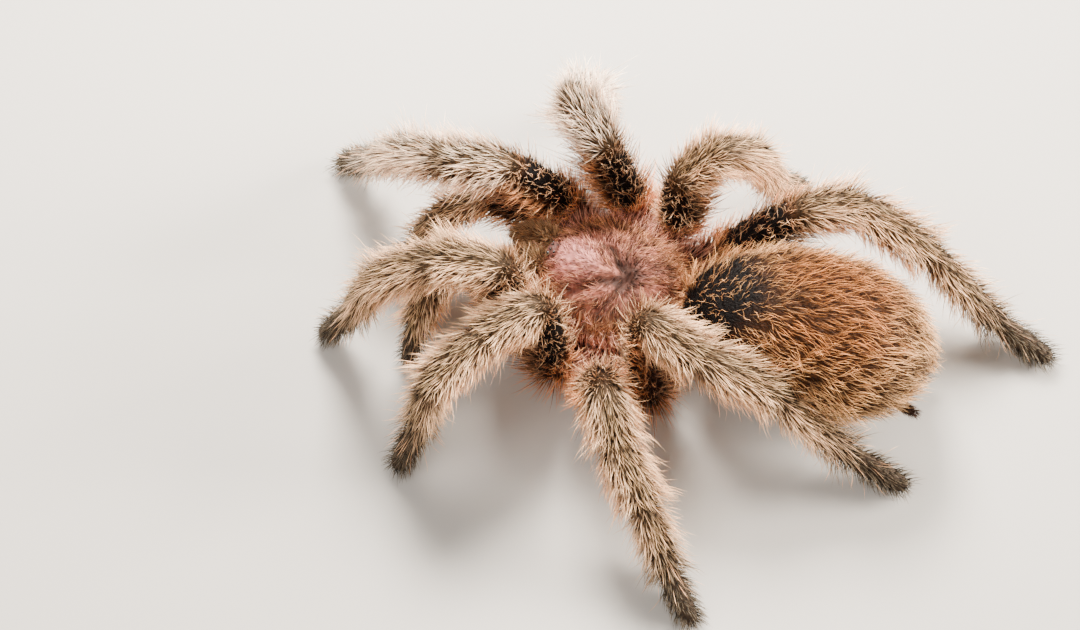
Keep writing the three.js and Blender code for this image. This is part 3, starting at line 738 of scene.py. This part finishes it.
def carapace_colour(points):
    """Dusty mauve in clouds, pinker on the head, brown in the fovea and furrows, tan at the rim."""
    x, y = points[:, 0], points[:, 1]
    plan = points * (1, 1, 0)
    cloud = 0.5 + 0.5 * waves(plan, 3.4, 11) + 0.3 * waves(plan, 1.3, 13)
    colour = blend(linear(0x643226), linear(0xB8705C), np.clip(cloud, 0, 1))
    head = np.exp(-((x / 4.2) ** 4) - ((y - HEAD["y"]) / 4.8) ** 4)
    colour = blend(colour, linear(0xDE9088), head * (0.6 + 0.4 * np.clip(cloud, 0, 1)))
    colour = blend(colour, linear(0x2E1A12), gloom(points))
    return blend(colour, linear(0xA86A48), rise(0.72, 0.98, to_rim(x, y)) * 0.7)


shell_points, shell_triangles = closed_tube(carapace_point(*ball_grid(150, 220, 0.004)))
shell_material, shell_tree, shell_shader = plain_material("rose_shell", 0xA9858A, 0.6, {
    "Specular IOR Level": 0.2})
carapace = mesh_piece("carapace_shell", shell_points, shell_triangles, shell_material)
set_attribute(carapace, "coat_colour", "FLOAT_COLOR", carapace_colour(shell_points))
ahead = FOVEA["y"] - shell_points[:, 1]
off, fan = np.hypot(shell_points[:, 0], ahead), np.arctan2(shell_points[:, 0], ahead)
set_attribute(carapace, "comb", "FLOAT_VECTOR", np.stack([fan * 6, off, 0 * off], -1))
combed_finish(shell_tree, shell_shader, (3.4, 0.9), 0.00012, 0.8, 0.62, 1.2)
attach(carapace, "root")
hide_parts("carapace")

# ---- Eye hill and eyes --------------------------------------------------------------------------
# A low dark hill near the front edge carries eight lenses in two rows of four. Each lens is a clear
# wet bead that sits half sunk in a raised ring of the hill.

HILL = {"middle": (0.0, -10.5, 12.4), "halves": (1.6, 1.2, 1.25)}
EYES = {  # place from the hill's middle on the left side, and radius
    "front_middle": ((0.46, -0.45, 1.06), 0.3),
    "front_side": ((1.14, -0.68, 0.6), 0.38),
    "rear_middle": ((0.78, 0.3, 1.0), 0.22),
    "rear_side": ((1.3, 0.4, 0.52), 0.33),
}


def hill_point(x, y, z):
    """The hill: an egg whose surface rises in a ring round each eye and sinks inside it."""
    points = np.stack([x, y, z], -1) * HILL["halves"]
    normal = unit(np.stack([x, y, z], -1) / HILL["halves"])
    lift = 0.0
    for (ex, ey, ez), radius in EYES.values():
        for side in (1, -1):
            off = np.linalg.norm(points - (side * ex, ey, ez), axis=-1)
            lift = lift + 0.09 * np.exp(-((off - radius * 1.12) / 0.09) ** 2)
            lift = lift - 0.16 * rise(radius * 1.05, radius * 0.6, off)
    return points + normal * lift[..., None] + HILL["middle"]


def two_colours(tree, shader, share, first, second, full=1.0):
    """Colours a shader from one hex colour to another as a share goes from 0 to full."""
    ramp = add_node(tree, "ShaderNodeValToRGB")
    start, end = ramp.color_ramp.elements
    start.color, end.color = (*linear(first), 1), (*linear(second), 1)
    end.position = full
    tree.links.new(share, ramp.inputs["Fac"])
    tree.links.new(ramp.outputs["Color"], shader.inputs["Base Color"])


hill_material, hill_tree, hill_shader = plain_material("eye_hill", 0x2A1D1B, 0.5, {
    "Specular IOR Level": 0.2})
hill_grain = speckle(hill_tree, 5000.0)
raise_by(hill_tree, hill_shader, hill_grain, 0.00004)
two_colours(hill_tree, hill_shader, hill_grain, 0x3A2420, 0x8A5A52)
hill = mesh_piece("eye_hill", *closed_tube(ball_rings(hill_point, 110, 160)), hill_material)
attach(hill, "root")

SUNK = 0.3  # of its radius that a lens lies deeper than its place on the hill
SIDES = (("left", 1), ("right", -1))
lens_material, lens_tree, lens_shader = plain_material("eye_lens", 0x0B0A0D, 0.06, {
    "Coat Weight": 0.4, "Coat Roughness": 0.03})
two_colours(lens_tree, lens_shader, speckle(lens_tree, 1500.0), 0x08070A, 0x2B211C)
for name, (offset, radius) in EYES.items():
    for side_name, side in SIDES:
        centre = np.array(HILL["middle"]) + np.array(offset) * (side, 1, 1)
        centre -= unit(np.array(offset) * (side, 1, 1)) * SUNK * radius
        rings = ball_rings(lambda x, y, z: np.stack([x, y, z], -1) * radius + centre, 24, 36)
        lens = mesh_piece(f"lens_{name}_{side_name}", *closed_tube(rings), lens_material)
        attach(lens, "root")
        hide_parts(f"eye_{name}_{side_name}")

# ---- Fangs --------------------------------------------------------------------------------------
# Two curved horns, black and polished with a reddish root, hinged at the jaws' ends and folded back
# under them.

FANG = {"y": -18.6, "z": 6.3, "reach": 5.8, "fold": 0.5, "radius": 0.66, "taper": 0.9, "inward": 0.4}
FANG_SIDES = 28
fang_material, fang_tree, fang_shader = plain_material("fang_horn", 0x120C0B, 0.2, {
    "Coat Weight": 0.6, "Coat Roughness": 0.08})
fang_share = add_node(fang_tree, "ShaderNodeAttribute", attribute_name="along")
two_colours(fang_tree, fang_shader, fang_share.outputs["Fac"], 0x4A1A10, 0x0C0909, 0.35)


def horn(path, radius, sides=FANG_SIDES):
    """A horn: circles of the given radii carried along a path of points."""
    axis = unit(np.gradient(path, axis=0))
    across = unit(np.cross(axis, [0.13, 0.05, 1.0]))
    upward = np.cross(axis, across)
    turn = full_turn(sides)[None, :, None]
    circle = np.cos(turn) * across[:, None] + np.sin(turn) * upward[:, None]
    return path[:, None] + radius[:, None, None] * circle


for side_name, side in SIDES:
    share = np.linspace(0, 1, 60)
    bend = share * np.pi / 2
    path = np.stack([side * (JAW["x"] - FANG["inward"] * share),
                     FANG["y"] + FANG["reach"] * (1 - np.cos(bend)),
                     FANG["z"] - FANG["reach"] * FANG["fold"] * np.sin(bend)], -1)
    thick = FANG["radius"] * (1 - FANG["taper"] * share ** 1.3) * np.sqrt(np.clip(share / 0.04, 0.1, 1))
    fang = mesh_piece(f"fang_horn_{side_name}", *closed_tube(horn(path, thick)), fang_material)
    set_attribute(fang, "along", "FLOAT", np.concatenate([np.repeat(share, FANG_SIDES), [0, 1]]))
    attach(fang, "root")
    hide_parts(f"fang_{side_name}")

# ---- Claws --------------------------------------------------------------------------------------
# Each leg ends in a pair of small dark hooks that stand out of the brush of hair at its tip, and
# each palp in one.

CLAW = {"radius": 0.13, "length": 1.15, "up": 0.45, "hook": 0.75, "apart": 0.28, "splay": 0.25,
        "clear": 0.14, "dark": 0.6}  # dark is a place on the fang's two colours
claw_shells = []
for name, rows in LIMBS.items():
    tip, axis = rows["centre"][-3], rows["axis"][-1]
    rear, upward = rows["rear"][-1], rows["upward"][-1]
    for side in ((1, -1) if name.startswith("leg") else (0,)):
        share = np.linspace(0, 1, 16)[:, None]
        path = tip + rear * side * (CLAW["apart"] + CLAW["splay"] * share)
        path = path + upward * (CLAW["up"] - CLAW["hook"] * share ** 2) + axis * (CLAW["length"] * share)
        path[:, 2] = np.maximum(path[:, 2], CLAW["clear"])
        claw_shells.append(closed_tube(horn(path, CLAW["radius"] * (1.02 - share[:, 0]) ** 0.7, 10)))
claws = mesh_piece("claws", *joined(claw_shells), fang_material)
set_attribute(claws, "along", "FLOAT", np.full(len(claws.data.vertices), CLAW["dark"]))
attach(claws, "root")

# ---- Coat of the legs ---------------------------------------------------------------------------
# Each leg's hair: a short dense down, and over it longer hair that lies flat and ashy along the top,
# stands out in cream fringes along the flanks, and rings each joint. The feet have a slate brush.

coat_material, coat_tree, coat_shader = plain_material("coat_hair", 0xB9A486, 0.5, {
    "Specular IOR Level": 0.25})
coat_along = add_node(coat_tree, "ShaderNodeAttribute", attribute_name="along")
# Each hair is nearly black at its root, which paints the shade deep among the crowded hairs, and
# brightest from about three quarters on.
shaded_colour(coat_tree, coat_shader, coat_along.outputs["Fac"], (0.1, 0.72), 0.04, 1.4)

FLOOR_CLEAR = 0.03  # mm above the floor, below which no hair goes
ROOTED = 0.12  # mm that a hair starts under the skin
PATCH = 0.0015  # half the width of a hair's patch on its map
MAP_EDGE = 0.004  # of the map's width that stays free along each edge
LOCK_PULL = 0.4  # the most of the way that a tip is drawn to its lock's own
SHADES = 0.26  # how much hairs differ in brightness, as a power of e


def nearest(points, centres):
    """The index of the nearest centre to each point, worked out in batches."""
    batch = 4000
    return np.concatenate([((points[k:k + batch, None] - centres[None]) ** 2).sum(-1).argmin(1)
                           for k in range(0, len(points), batch)])


def hair(root, normal, lie, length, lift, bow, girth, colour, unwrap, rings, rng,
         curl=0.12, lock=0, wave=0.0):
    """Hairs as three-sided spikes. Each starts a little under the skin at its root, leaves at the
    lift angle above the lie, and bows over by the bow angle, along a curve through its start, its
    knee and its tip. The rings shrink to a point, and wave moves each but the first aside by its mm,
    to either side in turn. Where lock is set, one in so many hairs draws its neighbours' tips to its
    own. Also each hair's patch on its map."""
    count = len(root)
    scatter = rng.normal(size=(count, 3)) * curl
    lie = unit(lie + scatter - normal * np.sum((lie + scatter) * normal, 1, keepdims=True))
    first = unit(lie * np.cos(lift)[:, None] + normal * np.sin(lift)[:, None])
    end = lift - bow
    last = lie * np.cos(end)[:, None] + normal * np.sin(end)[:, None]
    last = unit(last + rng.normal(size=(count, 3)) * curl * 1.5)
    start = root - normal * ROOTED
    knee = start + first * (length * 0.5)[:, None]
    tip = knee + last * (length * 0.5)[:, None]
    if lock:
        mate = nearest(root, root[:count // lock])
        pull = LOCK_PULL * rng.uniform(size=(count, 1))
        tip = tip + (tip[mate] - tip) * pull
        knee = knee + (knee[mate] - knee) * pull * 0.35
    side = unit(np.cross(first, rng.normal(size=(count, 3))))
    other = np.cross(first, side)
    shares = np.linspace(0, 1, rings + 1)[:-1]
    points = np.empty((count, rings * 3 + 1, 3))
    for r, t in enumerate(shares):
        middle = start * (1 - t) ** 2 + knee * 2 * t * (1 - t) + tip * t * t
        middle = middle + side * wave * (-1) ** r * min(1, r)
        wide = np.reshape(girth, (-1, 1)) * (1 - t) ** 0.6
        for k in range(3):
            angle = 2 * math.pi * k / 3
            points[:, r * 3 + k] = middle + (side * math.cos(angle) + other * math.sin(angle)) * wide
    points[:, -1] = tip
    points[..., 2] = np.maximum(points[..., 2], FLOOR_CLEAR)
    faces = [(0, 2, 1)]
    for r in range(rings - 1):
        for k in range(3):
            a, b = r * 3 + k, r * 3 + (k + 1) % 3
            faces += [(a, b, b + 3), (a, b + 3, a + 3)]
    top = (rings - 1) * 3
    faces += [(top + k, top + (k + 1) % 3, rings * 3) for k in range(3)]
    faces = np.array(faces)
    size = rings * 3 + 1
    triangles = (np.arange(count)[:, None, None] * size + faces[None]).reshape(-1, 3)
    along = np.tile(np.concatenate([np.repeat(shares, 3), [1.0]]), count)
    shade = np.exp(rng.normal(size=(count, 1)) * SHADES)
    tint = np.repeat(colour * shade, size, axis=0)
    spread = (1 - 0.9 * np.concatenate([np.repeat(shares, 3), [1 / 0.9]]))
    angle = np.concatenate([np.tile(2 * np.pi * np.arange(3) / 3, rings), [0.0]])
    patch = np.stack([np.cos(angle), np.sin(angle)], -1) * (spread * PATCH)[:, None]
    corners = patch[faces]
    # The face that closes the root has a small place of its own in the patch's corner.
    corners[0] = patch[faces[0]] * 0.12 + (PATCH * 0.95, PATCH * 0.95)
    centre = MAP_EDGE + unwrap * (1 - 2 * MAP_EDGE)
    uv = (centre[:, None, None] + corners[None]).reshape(-1, 2)
    return points.reshape(-1, 3), triangles, along, tint, uv


def coat_piece(name, parts):
    """One coat piece from several growths of hair, with its colours and its map."""
    piece = mesh_piece(name, *joined([part[:2] for part in parts]), coat_material)
    set_attribute(piece, "along", "FLOAT", np.concatenate([part[2] for part in parts]))
    set_attribute(piece, "coat_colour", "FLOAT_COLOR", np.vstack([part[3] for part in parts]))
    layer = piece.data.uv_layers.new(name="OFBake")
    layer.data.foreach_set("uv", np.vstack([part[4] for part in parts]).astype(np.float32).ravel())
    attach(piece, "root")


def spread_out(count, rng):
    """Even but irregular pairs of shares of 0 to 1: steps of two irrational numbers, shaken a little."""
    steps = np.arange(count)[:, None] * np.array([0.7548776662, 0.5698402910]) + rng.uniform(size=2)
    return (steps + rng.normal(size=(count, 2)) * 0.3 / math.sqrt(count)) % 1.0


def limb_roots(rows, count, rng, start):
    """Roots spread over a limb by area, from a place on. Each has a distance along and a turn."""
    pairs = spread_out(count, rng)
    bend = np.linalg.norm(np.gradient(rows["axis"], rows["along"], axis=0), axis=1)
    weight = rows["radius"] * (1 + 0.8 * bend * rows["radius"])
    weight = np.where(rows["place"] >= start, weight, 0) + 1e-9
    total = np.concatenate([[0], np.cumsum(weight)])
    s = np.interp(pairs[:, 0] * total[-1], total, np.append(rows["along"], rows["along"][-1]))
    return s, pairs[:, 1] * 2 * np.pi - np.pi


# Two eggs, under the carapace and over the sternum, in which no limb's hair grows.
HAIRLESS = (((0, -0.5, 8.6), (9.2, 11.4, 4.2)), ((0, -0.8, 5.6), (5.6, 7.4, 1.5)))


def inside_body(points):
    """Whether points are in either hairless egg: less its centre, over its halves, below length 1."""
    return np.any([(((points - middle) / halves) ** 2).sum(1) < 1 for middle, halves in HAIRLESS], axis=0)


LEG_HAIRS = (2500, 4900, 350)  # down, long hairs and curls on a leg
# From a hair's middle to its three corners at the root, in mm.
HAIR_GIRTH = {"down": 0.06, "long": 0.082, "bristle": 0.06, "curl": 0.055}
BRISTLE_SHARE = 11  # long hairs to one bristle
# The near-white that paints light on the long hair of the far front legs.
PAINTED_LIGHT_TINT = linear(0xFFF0DE)
PAINTED_LIGHT_AND_LENGTH = {"leg1_right": (0.35, 1.08), "leg2_right": (0.6, 1.25)}  # how much painted light pales the long hair, as if nearer the lamp, and how much longer it is


def limb_coat(rows, down, long, curls, rng, painted_light=0.0, longer=1.0):
    """The growths of hair of one limb: down, long hair in locks, bristles, and curls on the velvet.
    Its long hair is paled towards near-white by a share, painted light as if the limb stood nearer the
    lamp, and is longer than the others' by a factor."""
    size = rows["girth"]
    growths = []

    def roots(count, start, keep_share):
        """Up to a count of roots from a place on, kept by a share of place and turn: each one's turn,
        point, normal, axis, place and place on the map."""
        s, turn = limb_roots(rows, count, rng, start)
        root, normal, axis, place = limb_surface(rows, s, turn)
        keep = ~inside_body(root) & (rng.uniform(size=count) < keep_share(place, turn))
        unwrap = np.stack([turn / (2 * np.pi) + 0.5, s / rows["along"][-1]], -1)
        return (a[keep] for a in (turn, root, normal, axis, place, unwrap))

    turn, root, normal, axis, place, unwrap = roots(down, 0.35, lambda p, t: 1 - bald_stripes(p, t))
    velvet = thigh_patch(place, turn)
    count = len(turn)
    length = (1.0 + 0.4 * rng.uniform(size=count)) * size * (1 - 0.2 * rise(4.7, 5.1, place))
    lift = np.radians(26 + 22 * velvet + 8 * rng.normal(size=count))
    # The down is mostly umber: partly its own dark colour, partly painted shade in the gaps between the
    # long hairs.
    colour = blend(UMBER, limb_colour(place, turn), (0.3 + 0.25 * rise(4.6, 5.2, place)) * (1 - velvet))
    colour = blend(colour, OLIVE * 0.6, 0.9 * whorl(place))
    colour = blend(colour, VELVET, velvet)
    growths.append(hair(root, normal, axis, length, lift, 0.3, HAIR_GIRTH["down"], colour, unwrap, 2,
                        rng, 0.25))

    turn, root, normal, axis, place, unwrap = roots(
        long, 0.4, lambda p, t: (1 - 0.95 * thigh_patch(p, t)) * (1 - bald_stripes(p, t)))
    count = len(turn)
    off = np.abs(np.degrees(turn))
    flank = rise(16, 50, off)
    under = rise(115, 150, off)
    foot = rise(4.7, 5.15, place)
    joint = whorl(place)
    collar = sum(np.exp(-((place - at) / 0.09) ** 2) for at in (2.9, 3.9, 4.9))
    thigh = rise(2.08, 1.92, place)
    length = 2.6 + 1.9 * flank - 0.7 * under + (0.8 + 2.4 * under) * thigh + 1.5 * collar
    length = length * (1 - 0.5 * joint) * (1 - 0.12 * rise(3.9, 4.5, place)) * (1 - 0.26 * foot)
    length = length * (0.72 + 0.5 * rng.uniform(size=count) ** 1.4) * size * longer
    tall = rng.uniform(size=count) < 0.1 * (1 - 0.7 * foot)
    length = np.where(tall, length * 1.35, length)
    lift = 20 + 34 * flank + 26 * joint + 12 * collar + 12 * foot * (1 - flank) + 16 * thigh * (1 - flank)
    lift = lift + 7 * rng.normal(size=count) + 8 * tall
    bow = 14 + 20 * flank + 8 * rng.normal(size=count)
    colour = blend(limb_colour(place, turn), OLIVE, 0.85 * joint)
    colour = blend(colour, CREAM, 0.3 * rng.uniform(size=count) * (1 - foot))
    # Painted light: the long hair of the far front legs is paled towards near-white, as if they stood
    # nearer the lamp.
    colour = blend(colour, PAINTED_LIGHT_TINT, painted_light * (1 - thigh) * (1 - foot) * (1 - joint))
    lie = axis + 0.16 * waves(root, 4.0, 3)[:, None] * np.cross(normal, axis)
    growths.append(hair(root, normal, lie, length, np.radians(np.clip(lift, 6, 76)), np.radians(bow),
                        HAIR_GIRTH["long"] - 0.02 * foot, colour, unwrap, 3, rng, 0.13, lock=5))

    turn, root, normal, axis, place, unwrap = roots(
        long // BRISTLE_SHARE, 1.0, lambda p, t: rise(5.6, 4.9, p))
    count = len(turn)
    side_on = rise(30, 80, np.abs(np.degrees(turn)))
    growths.append(hair(root, normal, axis, (4.2 + 1.6 * rng.uniform(size=count)) * size,
                        np.radians(40 + 16 * side_on + 8 * rng.normal(size=count)), 0.25,
                        HAIR_GIRTH["bristle"], blend(SALMON, CREAM, 0.5 + 0.5 * rng.uniform(size=count)),
                        unwrap, 3, rng, 0.2))
    if curls:
        turn, root, normal, axis, place, unwrap = roots(
            curls * 4, 1.0, lambda p, t: thigh_patch(p, t) > 0.3)
        count = len(turn)
        colour = blend(SALMON, CREAM, 0.5 + 0.4 * rng.uniform(size=count)) * 0.9
        growths.append(hair(root, normal, axis, (2.0 + 1.3 * rng.uniform(size=count)) * size,
                            np.radians(46 + 12 * rng.normal(size=count)),
                            np.radians(30 + 25 * rng.normal(size=count)), HAIR_GIRTH["curl"], colour,
                            unwrap, 4, rng, 0.34, wave=0.12))
    return growths


for number, (name, rows) in enumerate(LIMBS.items()):
    if name.startswith("leg"):
        growths = limb_coat(rows, *LEG_HAIRS, np.random.default_rng(20 + number), *PAINTED_LIGHT_AND_LENGTH.get(name, ()))
        coat_piece(f"coat_{name}", growths)

# ---- Coat of the palps and spinnerets -----------------------------------------------------------
# The same hair as on the legs, shorter. The two palps share one piece and half its map each, and
# the spinnerets another, with short dark hair.

PALP_HAIRS, SPINNERET_HAIRS = (1700, 2400, 0), 700
parts = []
for number, name in enumerate(("palp_left", "palp_right")):
    for part in limb_coat(LIMBS[name], *PALP_HAIRS, np.random.default_rng(40 + number)):
        parts.append((*part[:4], part[4] * (0.5, 1) + (0.5 * number, 0)))
coat_piece("coat_palps", parts)
parts = []
for number, (name, rows) in enumerate(FEELERS.items()):
    rng = np.random.default_rng(50 + number)
    s, turn = limb_roots(rows, SPINNERET_HAIRS, rng, 7.1)
    root, normal, axis, _ = limb_surface(rows, s, turn)
    unwrap = np.stack([turn / (4 * np.pi) + 0.25 + 0.5 * number, s / rows["along"][-1]], -1)
    colour = blend(UMBER, FAWN, 0.3 * rng.uniform(size=SPINNERET_HAIRS))
    parts.append(hair(root, normal, axis, 0.9 + 0.5 * rng.uniform(size=SPINNERET_HAIRS),
                      np.radians(30 + 8 * rng.normal(size=SPINNERET_HAIRS)), 0.2, 0.045, colour, unwrap,
                      2, rng))
coat_piece("coat_spinnerets", parts)

# ---- Coat of the abdomen ------------------------------------------------------------------------
# A dark dense down, black in the front saddle, and over it long tawny hair swept back in small
# pointed locks, sparser and paler on the saddle and turning to sand down the flanks.


def abdomen_frame(fall, turn):
    """Points of the abdomen's flesh, their outward normal and the way back along it."""
    step = 0.01
    root = abdomen_point(fall, turn)
    lie = unit(abdomen_point(fall + step, turn) - abdomen_point(fall - step, turn))
    across = abdomen_point(fall, turn + step) - abdomen_point(fall, turn - step)
    return root, unit(np.cross(across, lie)), lie


def abdomen_roots(count, rng):
    """Roots spread over the abdomen by area."""
    pairs = spread_out(count, rng)
    return np.arccos(1 - 2 * np.clip(pairs[:, 0], 0.004, 0.996)), pairs[:, 1] * 2 * np.pi - np.pi


ABDOMEN_DOWN, ABDOMEN_LONG = 12000, 9500  # hairs before the saddle's and the belly's are thinned
rng = np.random.default_rng(60)
fall, turn = abdomen_roots(ABDOMEN_DOWN, rng)
root, normal, lie = abdomen_frame(fall, turn)
count = len(fall)
# The down is umber, black on the saddle: partly its own dark colour, partly painted shade in the gaps
# between the long hairs.
colour = blend(blend(UMBER, TAWNY, 0.06 + 0.05 * waves(root, 6.0, 8)), VELVET, abdomen_patch(fall, turn))
unwrap = np.stack([turn / (2 * np.pi) + 0.5, fall / np.pi], -1)
coat_piece("coat_abdomen_down", [hair(
    root, normal, lie, 1.2 + 0.5 * rng.uniform(size=count),
    np.radians(28 + 20 * abdomen_patch(fall, turn) + 8 * rng.normal(size=count)), 0.25, 0.055, colour,
    unwrap, 2, rng, 0.25)])

rng = np.random.default_rng(61)
fall, turn = abdomen_roots(ABDOMEN_LONG, rng)
patch = abdomen_patch(fall, turn)
off = np.abs(np.degrees(turn))
belly = rise(120, 150, off)
keep = rng.uniform(size=len(fall)) > 0.76 * patch + 0.3 * belly
fall, turn, patch, off, belly = (a[keep] for a in (fall, turn, patch, off, belly))
root, normal, lie = abdomen_frame(fall, turn)
count = len(fall)
length = 3.3 + 1.8 * rng.uniform(size=count) + 1.4 * rise(56, 30, np.degrees(fall))
length = length * (1 - 0.3 * patch) * (1 - 0.35 * belly)
lift = 38 + 9 * rng.normal(size=count) + 6 * patch + 6 * rise(60, 100, off)
colour = abdomen_colour(fall, turn)
colour = blend(colour, AMBER, 0.6 * rise(62, 36, np.degrees(fall)))
colour = blend(colour, UMBER, 0.5 * rise(0.25, 0.9, waves(root, 5.0, 12)) * (1 - patch))
colour = blend(colour, UMBER, 0.85 * (rng.uniform(size=count) < 0.33))
colour = blend(colour, SAND, 0.5 * patch) * 1.1
sway = 0.45 * waves(root, 4.0, 9) + 0.3 * waves(root, 2.0, 10)
lie = lie + sway[:, None] * np.cross(normal, lie)
unwrap = np.stack([turn / (2 * np.pi) + 0.5, fall / np.pi], -1)
coat_piece("coat_abdomen_long", [hair(
    root, normal, lie, length, np.radians(lift), np.radians(28 + 14 * rng.normal(size=count)),
    0.067 - 0.022 * patch, colour, unwrap, 4, rng, 0.16 + 0.14 * patch[:, None], lock=4,
    wave=0.04 + 0.08 * patch[:, None])])

# ---- Coat of the carapace -----------------------------------------------------------------------
# Short fine hair that lies flat and fans out from the fovea, thinner on the head's crown, with a
# longer cream and salmon fringe round the rim.


def carapace_frame(fall, turn):
    """Points of the carapace and their outward normal."""
    step = 0.02
    down = carapace_point(fall + step, turn) - carapace_point(fall - step, turn)
    across = carapace_point(fall, turn + step) - carapace_point(fall, turn - step)
    return carapace_point(fall, turn), unit(np.cross(down, across))


def disc(fall, turn):
    """The carapace unrolled as a disc: its top is the middle."""
    out = 0.5 * fall / np.pi
    return np.stack([0.5 + out * np.sin(turn), 0.5 - out * np.cos(turn)], -1)


FLAT_HAIRS, FRINGE_HAIRS = 7200, 2800  # the flat ones before the crown's are thinned
rng = np.random.default_rng(70)
pairs = spread_out(FLAT_HAIRS, rng)
fall, turn = np.arccos(1 - 1.1 * pairs[:, 0]), pairs[:, 1] * 2 * np.pi
root, normal = carapace_frame(fall, turn)
swirl = waves(root, 4.0, 15)[:, None] * 0.9
outward = unit((root - (0, FOVEA["y"], 0)) * (1, 1, 0))
outward = outward + swirl * np.stack([-outward[:, 1], outward[:, 0], 0 * fall], -1)
outward = unit(outward - normal * np.sum(outward * normal, 1, keepdims=True))
crown = np.exp(-((root[:, 0] / 3.6) ** 4) - ((root[:, 1] + 7.8) / 3.8) ** 4)
keep = rng.uniform(size=len(fall)) > 0.4 * crown
root, normal, outward, fall, turn, crown = (a[keep] for a in (root, normal, outward, fall, turn, crown))
count = len(fall)
rim = rise(0.7, 1.0, to_rim(*root.T[:2]))
tan_share = rng.uniform(size=count) * (0.6 + 0.4 * rim) * (1 - gloom(root))
colour = blend(carapace_colour(root) * 1.25, linear(0xE8A672), tan_share)
colour = blend(colour, UMBER, 0.8 * (rng.uniform(size=count) < 0.4 - 0.1 * crown))
flat_hair = hair(root, normal, outward, 1.9 + 1.5 * rng.uniform(size=count) + 0.8 * rim - 0.7 * crown,
                 np.radians(14 + 6 * rng.normal(size=count) + 14 * rim), 0.1, 0.055, colour,
                 disc(fall, turn), 2, rng, 0.24, lock=3)
pairs = spread_out(FRINGE_HAIRS, rng)
fall, turn = np.radians(74 + 24 * pairs[:, 0]), pairs[:, 1] * 2 * np.pi
root, normal = carapace_frame(fall, turn)
count = len(fall)
outward = unit((root - (0, 1.0, 0)) * (1, 1, 0)) + np.array([0, 0.25, -0.1])
colour = blend(blend(ROSE, SALMON, rise(2, 9, root[:, 1])), CREAM, 0.4 * rng.uniform(size=count))
colour = blend(colour, UMBER, 0.7 * (rng.uniform(size=count) < 0.25))
fringe = hair(root, unit(normal + [0, 0, 0.6]), outward, 3.2 + 2.2 * rng.uniform(size=count),
              np.radians(26 + 14 * rng.normal(size=count)), math.radians(26), 0.07, colour,
              disc(fall, turn), 3, rng, 0.25, lock=4)
coat_piece("coat_carapace", [flat_hair, fringe])

# ---- Coat of the jaws and the underside ---------------------------------------------------------
# The jaws carry greyish brown hair swept forward and down, darker below, and the sternum and lip a
# short dark brown pile.

JAW_HAIRS, STERNUM_HAIRS = 2300, 2200


def on_ball(z, share):
    """Points of the unit ball at heights z, turned about its upright axis by a share of a turn."""
    out, around = np.sqrt(1 - z * z), share * 2 * np.pi
    return out * np.cos(around), out * np.sin(around), z


parts = []
for number, side in enumerate((1, -1)):
    rng = np.random.default_rng(80 + number)
    pairs = spread_out(JAW_HAIRS, rng)
    x, y, z = on_ball(1 - 2 * pairs[:, 0], pairs[:, 1])
    keep = y < 0.95
    x, y, z = x[keep], y[keep], z[keep]
    root = jaw_point(side)(x, y, z)
    nearby = jaw_point(side)(x * 1.05, y * 1.05, z * 1.05)
    normal = unit(nearby - root + 0.05 * np.stack([x, y, z], -1))
    count = len(x)
    forward = np.array([0.0, -1.0, -0.45]) + 0 * root
    unwrap = np.stack([0.25 + 0.5 * number + np.arctan2(x, z) / (4 * np.pi), 0.5 + 0.5 * y], -1)
    colour = blend(ASH, SALMON, 0.5 * rng.uniform(size=count))
    colour = blend(colour, UMBER, 0.5 + rise(0.3, -0.5, z) * 0.3)
    parts.append(hair(root, normal, forward, 1.7 + 1.3 * rng.uniform(size=count),
                      np.radians(30 + 10 * rng.normal(size=count)), 0.3, 0.055, colour,
                      unwrap * (1, 0.5), 3, rng, 0.2))
rng = np.random.default_rng(82)
pairs = spread_out(STERNUM_HAIRS, rng)
x, y, z = on_ball(-np.abs(pairs[:, 0]), pairs[:, 1])
root = sternum_point(x, y, z)
normal = unit(np.stack([x, y, z], -1) / STERNUM["halves"])
unwrap = np.stack([0.5 + 0.5 * x, 0.75 + 0.25 * y], -1)
count = len(x)
parts.append(hair(root, normal, np.array([0, 1.0, 0]) + 0 * root, 0.8 + 0.5 * rng.uniform(size=count),
                  np.radians(30 + 8 * rng.normal(size=count)), 0.25, 0.05,
                  blend(UMBER, FAWN, 0.25 * rng.uniform(size=count)), unwrap, 2, rng, 0.25))
coat_piece("coat_underside", parts)
